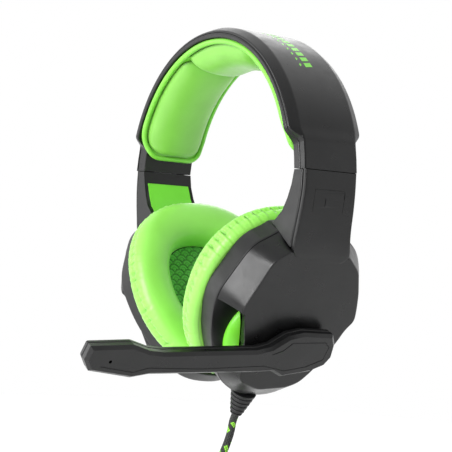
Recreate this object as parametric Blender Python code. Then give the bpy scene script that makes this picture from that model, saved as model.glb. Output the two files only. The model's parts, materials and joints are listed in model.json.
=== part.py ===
"""Gaming headset with a sprung headband, two height sliders and a swinging microphone boom.

Lengths below are in millimetres and are turned into metres where the meshes are made.
The wearer faces -Y, +Z is up, +X is the wearer's left.  The origin is the middle of the
headband pad's underside, where a head or a hook carries the headset.
"""
import math

import bmesh
import bpy
from mathutils import Vector

MM = 0.001
GAP = 0.3                      # clearance between parts that touch
LEFT, RIGHT = 1, -1
SIDE_NAMES = {LEFT: "left", RIGHT: "right"}

# Headband: a half circle about the band centre
BAND_OUTER_R = 85.0            # crown of the outer shell
BAND_EDGE_R = 82.4             # where the outer shell's chamfer ends
BAND_SEAM_R = 81.6             # parting line between shell and frame
BAND_INNER_R = 78.6            # frame surface under the pad
BLOCK_INNER_R = 76.5           # same surface on the thicker end blocks
BLOCK_EDGE_R = 85.2
BAND_HALF_WIDTH = 23.9
BAND_CROWN_HALF_WIDTH = 18.1
BLOCK_HALF_WIDTH = 17.0
BLOCK_CROWN_HALF_WIDTH = 16.5
JOINT_Z = 5.0                  # height of the parting between band and arms above the band centre
BLOCK_ANGLES = (8.1, 12.6)     # degrees; the end blocks reach from the joint to the second angle
BAND_START_ANGLE = 18.5        # degrees; full band width from here on
BAND_STEP = 6.5                # degrees between the band's sections

# Thin lead from cup to cup, in a groove in the frame's outer side
LEAD_R = 0.8
LEAD_DEPTH = 1.0
LEAD_END_ANGLE = 34.0

# Headband pad
PAD_BOARD_THICKNESS = 1.7
PAD_END_ANGLE = 10.5
PAD_JOINTS = (66.5, 113.5)     # degrees where one cushion ends and the next begins
PAD_SIDE_DEPTH = 9.5
PAD_TOP_DEPTH = 12.9
PAD_HALF_WIDTH = 20.5
PAD_FLANGE = 2.6               # the board stands out this far beside the cushions
PAD_CORNER_ANGLE = 14.0        # degrees over which the board's ends are rounded off
PAD_CORNER_WIDTH = 13.0
PAD_RIM = 1.6                  # thickness of the cushions at their ends
SADDLE_Z = BAND_INNER_R - 2 * GAP - PAD_BOARD_THICKNESS - PAD_TOP_DEPTH

# Height sliders
SLIDER_TILT = 10.0             # degrees from vertical
SLIDER_X = 79.8                # strip's centre plane at the joint
SLIDER_THICKNESS = 1.2
SLIDER_WIDTH = 16.0
SLIDER_UP = 26.0
SLIDER_DOWN = 12.0
SLOT_HALF = 1.0                # half width of the slot in the arm that grips the strip

# Ear cups: each has its own frame, turned about Y; x runs outward, y backward, z up the cup
CUP_LEAN = 25.0
CUP_CENTRE = (5.0, -44.0)      # y, z of the speaker's axis
CUSHION_CENTRE_Z = -40.0
CUSHION_HALF_WIDTH = 51.0
CUSHION_UP = 48.8
CUSHION_DOWN = 58.0
CUSHION_RING = 25.0            # from the outer edge to the ear opening
CUSHION_FACE = 43.5
# Section of the cushion: distance in from its outer edge, and share of its depth
CUSHION_SECTION = ((3.5, 0.0), (0.8, 0.22), (0.0, 0.5), (1.4, 0.76), (5.0, 0.94), (9.0, 1.0),
                   (14.0, 1.0), (18.0, 0.94), (22.0, 0.72), (CUSHION_RING - 0.5, 0.4),
                   (CUSHION_RING, 0.0))
SEAT = 61.0                    # cushion's back and the housing's front rim
HOUSING_BACK = 73.0
WALL = 2.4
PLATE = 88.0                   # outer plate's face
DRIVER_R = 20.0
BAFFLE_SCREWS = ((-24.0, -16.0), (34.0, -16.0), (5.0, -88.0))

# Outer edge of each cup's plate (on its face) and of its skirt (on the housing), y and z in step
PLATE_EDGE = ((19.6, 5.2), (22.0, -1.6), (32.0, -11.0), (37.6, -24.0), (40.5, -34.0),
              (42.0, -41.0), (37.7, -46.5), (34.9, -54.5), (25.0, -73.0), (19.0, -80.0),
              (11.5, -83.0), (-7.4, -84.0), (-21.0, -78.3), (-26.4, -55.6), (-31.6, -43.5),
              (-35.0, -35.4), (-26.0, -6.9), (-16.5, 0.0), (-16.5, 5.2))
SKIRT_EDGE = ((22.0, 4.6), (30.0, 1.0), (40.5, -7.0), (47.5, -20.0), (51.0, -34.0),
              (51.0, -46.0), (48.0, -56.0), (43.5, -68.0), (32.0, -86.0), (22.0, -95.0),
              (10.0, -98.0), (-8.5, -96.0), (-23.5, -86.0), (-37.2, -60.0), (-41.8, -42.5),
              (-41.8, -31.5), (-31.0, -5.2), (-19.0, 2.0), (-16.5, 4.6))
SKIRT_START = HOUSING_BACK + GAP
# Window in the front of the skirt that shows the accent disc
WINDOW = ((-60.0, -36.5), (-33.5, -36.5), (-31.0, -42.5), (-26.4, -55.6), (-22.5, -74.0),
          (-60.0, -86.0))
ACCENT_CENTRE = (-7.0, -57.0)
ACCENT_R = 23.0
ACCENT_RISE = 8.4              # height of the accent disc's dome

# Arm between the slider and the cup: outward reach (x) and height (z) about the band centre
ARM_OUTER = ((86.0, 4.6), (86.1, -5.0), (84.9, -15.0), (83.0, -25.0), (81.75, -32.4))
ARM_INNER = ((76.5, 4.6), (74.9, -3.0), (72.4, -10.0), (69.0, -16.5), (61.6, -22.9))
ARM_FRONT = (-16.6, -16.6, -16.8, -17.0, -17.2)
ARM_REAR = (17.0, 17.0, 17.6, 18.4, 19.2)
ARM_SKIN = 2.2
ARM_END_X = 78.9               # lower outer corner of the arm's inner cover
ARM_END_Z = -30.95
ARM_WALL = 2.0
# The arm's skin runs on down behind the plate to this point, given in the cup's frame
ARM_FOOT = (79.2, -38.0)
ARM_FOOT_WIDTH = (-16.0, 18.6)
# Coloured panel on the arm's inner face
INSERT_FACE = ((75.75, -1.2), (74.9, -3.0), (72.4, -10.0), (69.0, -16.5), (63.0, -21.7))
INSERT_FRONT = -14.6
INSERT_REAR = (15.2, 15.2, 15.8, 16.4, 16.6)
INSERT_THICKNESS = 1.0
SEAT_CUT = 4.0                 # how far the panel's cutter stands out of the face

# Microphone boom, lying in the left cup's frame
BOOM_PIVOT = (8.0, -56.0)
BOOM_BACK = 89.6
BOOM_SPLIT = 93.6
BOOM_FACE = 98.0
BOOM_EDGE = ((22.0, -44.0), (2.0, -43.0), (-7.0, -45.0), (-16.0, -51.5), (-24.0, -53.5),
             (-80.0, -54.0), (-88.0, -53.0), (-98.0, -49.5), (-121.0, -50.0), (-122.4, -57.5),
             (-118.6, -63.6), (-95.0, -68.0), (-85.0, -66.3), (-22.0, -66.7), (-11.0, -66.3),
             (-4.0, -69.8), (15.0, -67.0), (23.0, -63.5), (26.3, -58.0), (25.5, -50.0))
BOOM_EDGE_BEVEL = 1.6
MIC_HOLE = (-109.0, -58.0)
PIVOT_PIN_R = 4.0

# Cord
CORD_D = 4.4
RELIEF_X = 67.5                # in the left cup's frame
RELIEF_Y = 1.0
RELIEF_TOP = -98.4
RELIEF_LENGTH = 15.0
COIL_CENTRE = (10.0, 1.0, -198.0)
COIL_MEAN_R = 27.0
COIL_HALF_SECTION = 9.0
TIE_ANGLE = 60.0               # degrees round the coil
TIE_WIDTH = 7.0
TIE_THICKNESS = 1.2
TAIL_START = 22.0              # from the coil's centre down to where the tail leaves it
PLUG_DROP = 37.0               # from the coil's centre to the plug's tail
PLUG_R = 4.6
PLUG_LENGTH = 24.0
PIN_R = 1.75
PIN_LENGTH = 14.0


# --- scene and materials ------------------------------------------------------------------

def clear_scene():
    for obj in list(bpy.data.objects):
        bpy.data.objects.remove(obj, do_unlink=True)


def material(name, colour, roughness, metallic=0.0):
    made = bpy.data.materials.new(name)
    made.use_nodes = True
    shader = made.node_tree.nodes["Principled BSDF"]
    shader.inputs["Base Color"].default_value = (*colour, 1.0)
    shader.inputs["Roughness"].default_value = roughness
    shader.inputs["Metallic"].default_value = metallic
    return made


def empty(name, parent=None, location=(0, 0, 0), rotation=(0, 0, 0)):
    made = bpy.data.objects.new(name, None)
    bpy.context.collection.objects.link(made)
    made.parent = parent
    made.location = Vector(location) * MM
    made.rotation_euler = [math.radians(angle) for angle in rotation]
    return made


# --- building solids ----------------------------------------------------------------------

def add_object(name, bm, parent, mat, location=(0, 0, 0), rotation=(0, 0, 0), smooth=False):
    bmesh.ops.recalc_face_normals(bm, faces=bm.faces)
    mesh = bpy.data.meshes.new(name)
    bm.to_mesh(mesh)
    bm.free()
    if smooth:
        mesh.shade_smooth()
        mesh.set_sharp_from_angle(angle=math.radians(40))
    if mat:
        mesh.materials.append(mat)
    made = bpy.data.objects.new(name, mesh)
    bpy.context.collection.objects.link(made)
    made.parent = parent
    made.location = Vector(location) * MM
    made.rotation_euler = [math.radians(angle) for angle in rotation]
    return made


def loft(rings, closed=False):
    """A closed skin through rings of equal length; ends are capped unless the loft is closed."""
    bm = bmesh.new()
    rows = [[bm.verts.new(Vector(point) * MM) for point in ring] for ring in rings]
    count = len(rows[0])
    following = rows[1:] + rows[:1] if closed else rows[1:]
    for lower, upper in zip(rows, following):
        for i in range(count):
            j = (i + 1) % count
            bm.faces.new((lower[i], lower[j], upper[j], upper[i]))
    if not closed:
        bm.faces.new(rows[0][::-1])
        bm.faces.new(rows[-1])
    return bm


def slab(outline, start, end, side=LEFT):
    """A plate standing across the cup's x axis, from its (y, z) outline."""
    return loft([[(side * x, y, z) for y, z in outline] for x in (start, end)])


def tapered_slab(outlines, reaches, side=LEFT):
    return loft([[(side * x, y, z) for y, z in outline] for outline, x in zip(outlines, reaches)])


def turned(profile, centre, side=LEFT, segments=24):
    """A solid turned about an axis along x; the profile is (x, radius), radius 0 at both ends."""
    bm = bmesh.new()
    rows = []
    for x, radius in profile:
        if radius == 0:
            rows.append([bm.verts.new(Vector((side * x, *centre)) * MM)])
            continue
        row = []
        for k in range(segments):
            angle = 2 * math.pi * k / segments
            y = centre[0] + radius * math.cos(angle)
            z = centre[1] + radius * math.sin(angle)
            row.append(bm.verts.new(Vector((side * x, y, z)) * MM))
        rows.append(row)
    for lower, upper in zip(rows, rows[1:]):
        for k in range(segments):
            j = (k + 1) % segments
            corners = [lower[k % len(lower)], lower[j % len(lower)],
                       upper[j % len(upper)], upper[k % len(upper)]]
            bm.faces.new(list(dict.fromkeys(corners)))
    return bm


def ring(profile, centre, side=LEFT, segments=24):
    """A turned ring about an axis along x; the profile is a closed loop of (x, radius)."""
    rings = []
    for k in range(segments):
        angle = 2 * math.pi * k / segments
        rings.append([(side * x, centre[0] + r * math.cos(angle), centre[1] + r * math.sin(angle))
                      for x, r in profile])
    return loft(rings, closed=True)


def box(x_range, y_range, z_range):
    corners = [(x_range[i], y_range[j]) for i, j in ((0, 0), (1, 0), (1, 1), (0, 1))]
    return loft([[(x, y, z) for x, y in corners] for z in z_range])


def hide_tool(tool):
    tool.hide_render = True
    tool.display_type = "WIRE"


def boolean(target, tool, operation="DIFFERENCE"):
    hide_tool(tool)
    modifier = target.modifiers.new(tool.name, "BOOLEAN")
    modifier.operation = operation
    modifier.solver = "EXACT"
    modifier.object = tool


def inset(outline, distance):
    """The outline moved inward by a distance, corner by corner."""
    count = len(outline)
    area = sum(outline[i][0] * outline[(i + 1) % count][1] - outline[(i + 1) % count][0] * outline[i][1]
               for i in range(count))
    turn = 1 if area > 0 else -1
    moved = []
    for i in range(count):
        here = Vector(outline[i])
        before = (here - Vector(outline[i - 1])).normalized()
        after = (Vector(outline[(i + 1) % count]) - here).normalized()
        normal_before = Vector((-before.y, before.x)) * turn
        normal_after = Vector((-after.y, after.x)) * turn
        bisector = (normal_before + normal_after).normalized()
        reach = distance / max(0.35, bisector.dot(normal_before))
        moved.append(tuple(here + bisector * reach))
    return moved


def cushion_outline(offset=0.0, points=36):
    """The ear cushion's egg-shaped edge, moved inward by the offset, as (y, z)."""
    outline = []
    for k in range(points):
        angle = 2 * math.pi * k / points
        c, s = math.cos(angle), math.sin(angle)
        power = 2 / 2.25 if s > 0 else 2 / 2.05
        height = CUSHION_UP if s > 0 else CUSHION_DOWN
        y = CUP_CENTRE[0] + (CUSHION_HALF_WIDTH - offset) * math.copysign(abs(c) ** power, c)
        z = CUSHION_CENTRE_Z + (height - offset) * math.copysign(abs(s) ** power, s)
        outline.append((y, z))
    return outline


# --- headband -----------------------------------------------------------------------------

def block_share(angle):
    """1 on an end block, 0 on the band proper, and between the two in the step."""
    from_end = min(angle, 180 - angle)
    span = BAND_START_ANGLE - BLOCK_ANGLES[1]
    return min(1.0, max(0.0, (BAND_START_ANGLE - from_end) / span))


def blend(angle, band_value, block_value):
    share = block_share(angle)
    return band_value * (1 - share) + block_value * share


def on_band(angle, radius, y):
    a = math.radians(angle)
    return (radius * math.cos(a), y, radius * math.sin(a))


def band_angles(first=None):
    """Angles of the band's sections, from the left end over the crown to the right end."""
    half = list(BLOCK_ANGLES) + [BAND_START_ANGLE]
    steps = round((90 - BAND_START_ANGLE) / BAND_STEP)
    half += [BAND_START_ANGLE + (90 - BAND_START_ANGLE) * i / steps for i in range(1, steps)]
    return half + [90.0] + [180 - angle for angle in reversed(half)]


def band_body(section):
    """Loft a (radius, y) section over the band, ending flat on the joint plane."""
    rings = [[on_band(angle, r, y) for r, y in section(angle)] for angle in band_angles()]
    foot = [(r, y, JOINT_Z) for r, y in section(0)]
    far_foot = [(-r, y, JOINT_Z) for r, y in section(180)]
    return loft([foot] + rings + [far_foot])


def shell_section(angle):
    edge = blend(angle, BAND_EDGE_R, BLOCK_EDGE_R)
    crown = blend(angle, BAND_CROWN_HALF_WIDTH, BLOCK_CROWN_HALF_WIDTH)
    half = blend(angle, BAND_HALF_WIDTH, BLOCK_HALF_WIDTH)
    outer = blend(angle, BAND_OUTER_R, BAND_OUTER_R + 0.8)
    return [(BAND_SEAM_R, -half), (edge, -half), (outer, -crown), (outer, crown), (edge, half),
            (BAND_SEAM_R, half)]


def frame_section(angle):
    inner = blend(angle, BAND_INNER_R, BLOCK_INNER_R)
    half = blend(angle, BAND_HALF_WIDTH, BLOCK_HALF_WIDTH) - 0.1
    return [(inner, -half), (BAND_SEAM_R - GAP, -half), (BAND_SEAM_R - GAP, half), (inner, half)]


def slider_place(side):
    return {"location": (side * SLIDER_X, 0, JOINT_Z), "rotation": (0, -side * SLIDER_TILT, 0)}


def make_headband(root, mats):
    shell = add_object("headband_outer_shell", band_body(shell_section), root, mats["shell"],
                       smooth=True)
    frame = add_object("headband_inner_frame", band_body(frame_section), root, mats["inner"],
                       smooth=True)
    clear = SLIDER_THICKNESS / 2 + GAP
    half = SLIDER_WIDTH / 2 + GAP
    for side in (LEFT, RIGHT):
        name = SIDE_NAMES[side] + "_slider_pocket"
        pocket = add_object(name, box((-clear, clear), (-half, half), (-2.0, SLIDER_UP + 0.7)),
                            root, None, **slider_place(side))
        boolean(shell, pocket)
        boolean(frame, pocket)
    groove = add_object("lead_groove", lead_body(LEAD_R + 2 * GAP), root, None)
    boolean(frame, groove)
    add_object("crossover_lead", lead_body(LEAD_R), root, mats["cable"], smooth=True)


def lead_body(radius):
    """The thin lead from cup to cup, lying in a groove along the frame's outer side."""
    centre_r = BAND_SEAM_R - GAP - LEAD_DEPTH
    steps, sides = 16, 8
    rings = []
    for i in range(steps + 1):
        angle = LEAD_END_ANGLE + (180 - 2 * LEAD_END_ANGLE) * i / steps
        turns = [2 * math.pi * (k + 0.5) / sides for k in range(sides)]
        rings.append([on_band(angle, centre_r + radius * math.cos(a), radius * math.sin(a))
                      for a in turns])
    return loft(rings)


def pad_board_radius(angle):
    return blend(angle, BAND_INNER_R, BLOCK_INNER_R) - GAP


def pad_half_width(angle):
    """Half width of the pad's board, rounded off towards its two ends."""
    from_end = min(angle, 180 - angle) - PAD_END_ANGLE
    full = PAD_HALF_WIDTH + PAD_FLANGE
    if from_end >= PAD_CORNER_ANGLE:
        return full
    short = 1 - from_end / PAD_CORNER_ANGLE
    return full - PAD_CORNER_WIDTH * (1 - math.sqrt(1 - short ** 2)) - 0.6 * short


def make_pad_board(root, mats):
    end = PAD_END_ANGLE
    corner = [end + PAD_CORNER_ANGLE * share for share in (0.0, 0.09, 0.25, 0.54, 1.0)]
    steps = 16
    first = corner[-1]
    angles = corner + [first + (180 - 2 * first) * i / steps for i in range(1, steps)]
    angles += [180 - angle for angle in reversed(corner)]
    rings = []
    for angle in angles:
        outer = pad_board_radius(angle)
        half = pad_half_width(angle)
        rings.append([on_band(angle, r, y) for r, y in
                      ((outer, -half), (outer, half), (outer - PAD_BOARD_THICKNESS, half),
                       (outer - PAD_BOARD_THICKNESS, -half))])
    add_object("headband_pad_board", loft(rings), root, mats["piping"], smooth=True)


def make_pad_cushion(name, first, last, depth, root, mats):
    """One puffed cushion of the pad; it thins out towards both of its ends and sides."""
    steps, across = 8, 8
    rings = []
    for i in range(steps + 1):
        share = i / steps
        angle = first + (last - first) * share
        swell = max(0.0, 1 - abs(2 * share - 1) ** 3.2) ** 0.5
        half = (pad_half_width(angle) - PAD_FLANGE) * (0.86 + 0.14 * swell)
        base = pad_board_radius(angle) - PAD_BOARD_THICKNESS - GAP
        rise = PAD_RIM + (depth - PAD_RIM) * swell
        section = [on_band(angle, base, half), on_band(angle, base, -half)]
        for k in range(across + 1):
            y = -1 + 2 * k / across
            crown = 0.35 + 0.65 * (1 - abs(y) ** 3.0) ** 0.6
            section.append(on_band(angle, base - rise * crown, y * half))
        rings.append(section)
    add_object(name, loft(rings), root, mats["leatherette"], smooth=True)


def make_pad(root, mats):
    make_pad_board(root, mats)
    side_start = PAD_END_ANGLE + 2.0
    first_joint, second_joint = PAD_JOINTS
    make_pad_cushion("headband_pad_left", side_start, first_joint - 0.4, PAD_SIDE_DEPTH, root, mats)
    make_pad_cushion("headband_pad_top", first_joint + 0.4, second_joint - 0.4, PAD_TOP_DEPTH,
                     root, mats)
    make_pad_cushion("headband_pad_right", second_joint + 0.4, 180 - side_start, PAD_SIDE_DEPTH,
                     root, mats)


# --- arm and cup --------------------------------------------------------------------------

def to_cup(x, z):
    """A point of the arm's outline, given about the band centre, in the cup's own frame."""
    lean = math.radians(CUP_LEAN)
    return (x * math.cos(lean) - z * math.sin(lean), x * math.sin(lean) + z * math.cos(lean))


def arm_rings(inner, outer, front, rear, side):
    rings = []
    for (xi, zi), (xo, zo), y0, y1 in zip(inner, outer, front, rear):
        a = to_cup(xi, zi)
        b = to_cup(xo, zo)
        rings.append([(side * a[0], y0, a[1]), (side * b[0], y0, b[1]),
                      (side * b[0], y1, b[1]), (side * a[0], y1, a[1])])
    return rings


def shifted(points, dx):
    return [(x + dx, z) for x, z in points]


def make_outer_cover(side, cup, mats):
    """The arm's outer face and the cup's outer plate with its skirt, moulded as one shell."""
    name = SIDE_NAMES[side]
    plate = tapered_slab((SKIRT_EDGE, PLATE_EDGE), (SKIRT_START, PLATE), side)
    cover = add_object(name + "_outer_cover", plate, cup, mats["shell"])
    hollow_plate = inset(PLATE_EDGE, WALL + 0.6)
    hollow_skirt = inset(SKIRT_EDGE, WALL)
    hollow = tapered_slab((hollow_skirt, hollow_skirt, hollow_plate),
                          (SKIRT_START - 3.0, SKIRT_START, PLATE - WALL), side)
    boolean(cover, add_object(name + "_cover_hollow", hollow, cup, None))
    window = slab(WINDOW, SKIRT_START - 3.0, PLATE + 3.0, side)
    boolean(cover, add_object(name + "_cover_window", window, cup, None))
    outer = [*ARM_OUTER, ARM_FOOT]
    inner = shifted(outer, -ARM_SKIN)
    front = [*ARM_FRONT[:-1], PLATE_EDGE[-1][0], ARM_FOOT_WIDTH[0]]
    rear = [*ARM_REAR, ARM_FOOT_WIDTH[1]]
    arm = loft(arm_rings(inner, outer, front, rear, side))
    boolean(cover, add_object(name + "_cover_arm", arm, cup, None), "UNION")
    pivot_hole(cover, side, cup)


def pivot_hole(cover, side, cup):
    if side == RIGHT:
        return
    hole = turned(((PLATE - 6, 0), (PLATE - 6, PIVOT_PIN_R + GAP), (PLATE + 2, PIVOT_PIN_R + GAP),
                   (PLATE + 2, 0)), BOOM_PIVOT, side, 16)
    boolean(cover, add_object("pivot_hole", hole, cup, None))


def make_arm_inner(side, cup, mats):
    """The arm's inner half: a trough whose open side is closed by the outer cover."""
    name = SIDE_NAMES[side]
    outer = shifted(ARM_OUTER, -ARM_SKIN - GAP)
    outer[-1] = (ARM_END_X, ARM_END_Z)
    trough = loft(arm_rings(ARM_INNER, outer, ARM_FRONT, ARM_REAR, side))
    body = add_object(name + "_arm_inner_cover", trough, cup, mats["inner"])
    inside = shifted(ARM_INNER, ARM_WALL + 1.2)
    inside[0] = (inside[0][0], ARM_INNER[0][1] - ARM_WALL)
    inside[-1] = (inside[-1][0] + 0.1, ARM_INNER[-1][1] + ARM_WALL + 0.5)
    outside = shifted(ARM_OUTER, 3.0)
    outside[0] = (outside[0][0], ARM_OUTER[0][1] - ARM_WALL)
    outside[-1] = (outside[-1][0] - 0.75, ARM_END_Z + ARM_WALL - 0.25)
    front = [y + ARM_WALL for y in ARM_FRONT]
    rear = [y - ARM_WALL for y in ARM_REAR]
    hollow = loft(arm_rings(inside, outside, front, rear, side))
    boolean(body, add_object(name + "_arm_hollow", hollow, cup, None))
    half = SLIDER_WIDTH / 2 + GAP
    slot = box((-SLOT_HALF, SLOT_HALF), (-half, half), (-5.0, 4.0))
    root = cup.parent
    boolean(body, add_object(name + "_slider_slot", slot, root, None, **slider_place(side)))
    boolean(body, add_object(name + "_insert_seat", insert_body(side, GAP, SEAT_CUT), cup, None))


def insert_body(side, grow, proud):
    """The coloured panel let into the arm's inner face; grow widens it into its own seat."""
    rows = shifted(INSERT_FACE, -proud)
    rows[0] = (rows[0][0], rows[0][1] + grow)
    rows[-1] = (rows[-1][0], rows[-1][1] - grow)
    outer = shifted(rows, INSERT_THICKNESS + proud + grow)
    front = [INSERT_FRONT - grow] * len(rows)
    rear = [y + grow for y in INSERT_REAR]
    return loft(arm_rings(rows, outer, front, rear, side))


def make_cup_housing(side, cup, mats):
    name = SIDE_NAMES[side]
    outline = inset(SKIRT_EDGE, -0.5)
    housing = add_object(name + "_cup_housing", slab(outline, SEAT, HOUSING_BACK, side), cup,
                         mats["housing"])
    inside = inset(outline, WALL)
    boolean(housing, add_object(name + "_housing_hollow",
                                slab(inside, SEAT - 3, HOUSING_BACK - WALL, side), cup, None))
    if side == LEFT:
        bore = loft([[(RELIEF_X + 3.8 * math.cos(a), RELIEF_Y + 3.8 * math.sin(a), z)
                      for a in (2 * math.pi * k / 16 for k in range(16))]
                     for z in (RELIEF_TOP - 6, RELIEF_TOP + 8)])
        boolean(housing, add_object("relief_bore", bore, cup, None))


def make_baffle(side, cup, mats):
    """The plate that carries the speaker and screws, let into the housing's open side."""
    name = SIDE_NAMES[side]
    outline = inset(SKIRT_EDGE, WALL + 0.2)
    baffle = add_object(name + "_baffle", slab(outline, SEAT + 0.3, SEAT + 2.3, side), cup,
                        mats["inner"])
    hole = turned(((SEAT - 1, 0), (SEAT - 1, 17.0), (SEAT + 4, 17.0), (SEAT + 4, 0)), CUP_CENTRE, side)
    boolean(baffle, add_object(name + "_speaker_hole", hole, cup, None))
    for number, place in enumerate(BAFFLE_SCREWS, 1):
        hole = turned(screw_profile(0.3, 4.0), place, side, 12)
        boolean(baffle, add_object("%s_screw_hole_%d" % (name, number), hole, cup, None))
        add_object("%s_baffle_screw_%d" % (name, number), turned(screw_profile(), place, side, 12),
                   cup, mats["steel"], smooth=True)


def screw_profile(grow=0.0, proud=0.0):
    """A countersunk screw, its head flush with the baffle; grow turns it into its own hole."""
    head = SEAT + 0.6
    return ((head - proud, 0), (head - proud, 2.6 + grow), (head, 2.6 + grow),
            (head + 1.3, 1.3 + grow), (head + 7.5, 1.3 + grow), (head + 7.5, 0))


def make_speaker(side, cup, mats):
    name = SIDE_NAMES[side]
    back = SEAT + 2.6
    add_object(name + "_driver_frame",
               ring(((back, 13.0), (back, DRIVER_R), (back + 1.2, DRIVER_R), (back + 3.4, 16.0),
                     (back + 3.4, 13.0)), CUP_CENTRE, side), cup, mats["steel"], smooth=True)
    add_object(name + "_driver_magnet",
               turned(((back + 1.2, 0), (back + 1.2, 12.6), (back + 6.2, 12.6), (back + 6.2, 0)),
                      CUP_CENTRE, side), cup, mats["steel"], smooth=True)
    add_object(name + "_driver_diaphragm",
               turned(((SEAT + 0.9, 0), (SEAT + 1.0, 8.0), (SEAT + 1.6, 15.0), (SEAT + 2.2, 16.4),
                       (SEAT + 2.4, 15.0), (SEAT + 2.4, 0)), CUP_CENTRE, side),
               cup, mats["film"], smooth=True)


def make_ear_cushion(side, cup, mats):
    """A padded ring about the ear, with a flat back and a rounded face."""
    name = SIDE_NAMES[side]
    back = SEAT - GAP
    depth = back - CUSHION_FACE
    points = len(cushion_outline())
    outlines = [(cushion_outline(offset), back - depth * share) for offset, share in CUSHION_SECTION]
    rings = [[(side * x, *outline[k]) for outline, x in outlines] for k in range(points)]
    add_object(name + "_ear_cushion", loft(rings, closed=True), cup, mats["leatherette"], smooth=True)
    mesh_outline = cushion_outline(CUSHION_RING + 0.8, 28)
    add_object(name + "_ear_mesh", slab(mesh_outline, SEAT - 1.7, SEAT - 0.7, side), cup,
               mats["mesh"])


def make_accent(side, cup, mats):
    name = SIDE_NAMES[side]
    base = HOUSING_BACK + GAP
    steps = 5
    turns = [math.pi / 2 * k / steps for k in range(steps)]
    dome = [(base + ACCENT_RISE * math.sin(a), ACCENT_R * math.cos(a)) for a in turns]
    add_object(name + "_accent_disc",
               turned([(base, 0)] + dome + [(base + ACCENT_RISE, 0)], ACCENT_CENTRE, side, 32),
               cup, mats["accent"], smooth=True)


def make_slider(side, root, mats):
    name = SIDE_NAMES[side]
    t, w = SLIDER_THICKNESS / 2, SLIDER_WIDTH / 2
    strip = box((-t, t), (-w, w), (-SLIDER_DOWN, SLIDER_UP))
    add_object(name + "_slider_strip", strip, root, mats["steel"], **slider_place(side))


def make_side(side, root, mats):
    cup = empty(SIDE_NAMES[side] + "_cup_frame", root, rotation=(0, side * CUP_LEAN, 0))
    make_slider(side, root, mats)
    make_arm_inner(side, cup, mats)
    name = SIDE_NAMES[side]
    add_object(name + "_insert_panel", insert_body(side, 0.0, 0.0), cup, mats["accent"])
    make_outer_cover(side, cup, mats)
    make_cup_housing(side, cup, mats)
    make_baffle(side, cup, mats)
    make_speaker(side, cup, mats)
    make_ear_cushion(side, cup, mats)
    make_accent(side, cup, mats)
    return cup


# --- microphone boom ----------------------------------------------------------------------

def make_boom(cup, mats):
    """The boom turns about an axis along the cup's x through its pivot."""
    pivot = empty("boom_pivot", cup, location=(0, *BOOM_PIVOT))
    outline = [(y - BOOM_PIVOT[0], z - BOOM_PIVOT[1]) for y, z in BOOM_EDGE]
    small = inset(outline, BOOM_EDGE_BEVEL)
    outer = tapered_slab((outline, outline, small),
                         (BOOM_SPLIT + GAP, BOOM_FACE - BOOM_EDGE_BEVEL, BOOM_FACE))
    outer_cover = add_object("boom_outer_cover", outer, pivot, mats["shell"])
    hole_at = (MIC_HOLE[0] - BOOM_PIVOT[0], MIC_HOLE[1] - BOOM_PIVOT[1])
    hole = turned(((BOOM_SPLIT - 1, 0), (BOOM_SPLIT - 1, 0.9), (BOOM_FACE + 1, 0.9),
                   (BOOM_FACE + 1, 0)), hole_at, LEFT, 10)
    boolean(outer_cover, add_object("mic_hole", hole, pivot, None))
    inner = tapered_slab((small, outline, outline),
                         (BOOM_BACK, BOOM_BACK + BOOM_EDGE_BEVEL, BOOM_SPLIT))
    inner_cover = add_object("boom_inner_cover", inner, pivot, mats["shell"])
    seat = turned(((BOOM_SPLIT - 3.1, 0), (BOOM_SPLIT - 3.1, 3.5), (BOOM_SPLIT + 1, 3.5),
                   (BOOM_SPLIT + 1, 0)), hole_at, LEFT, 16)
    boolean(inner_cover, add_object("mic_seat", seat, pivot, None))
    add_object("mic_capsule",
               turned(((BOOM_SPLIT - 2.8, 0), (BOOM_SPLIT - 2.8, 3.1), (BOOM_SPLIT - 0.1, 3.1),
                       (BOOM_SPLIT - 0.1, 0)), hole_at, LEFT, 16), pivot, mats["steel"], smooth=True)
    bore = turned(((BOOM_BACK - 1, 0), (BOOM_BACK - 1, PIVOT_PIN_R + GAP),
                   (BOOM_SPLIT - 1.2, PIVOT_PIN_R + GAP), (BOOM_SPLIT - 1.2, 0)), (0, 0), LEFT, 16)
    boolean(inner_cover, add_object("pin_bore", bore, pivot, None))
    add_object("boom_pivot_pin",
               turned(((PLATE - WALL - 2.4, 0), (PLATE - WALL - 2.4, PIVOT_PIN_R + 2.4),
                       (PLATE - WALL - GAP - 0.2, PIVOT_PIN_R + 2.4),
                       (PLATE - WALL - GAP - 0.2, PIVOT_PIN_R), (BOOM_SPLIT - 1.5, PIVOT_PIN_R),
                       (BOOM_SPLIT - 1.5, 0)), (0, 0), LEFT, 16), pivot, mats["steel"], smooth=True)
    add_object("boom_friction_washer",
               ring(((PLATE + GAP, PIVOT_PIN_R + GAP), (PLATE + GAP, 9.0), (BOOM_BACK - GAP, 9.0),
                     (BOOM_BACK - GAP, PIVOT_PIN_R + GAP)), BOOM_PIVOT, LEFT), cup, mats["washer"],
               smooth=True)


# --- cord ---------------------------------------------------------------------------------

def relief_tip():
    """Foot of the strain relief's axis, about the band centre."""
    lean = math.radians(CUP_LEAN)
    z = RELIEF_TOP - RELIEF_LENGTH
    return Vector((RELIEF_X * math.cos(lean) + z * math.sin(lean), RELIEF_Y,
                   -RELIEF_X * math.sin(lean) + z * math.cos(lean)))


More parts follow.
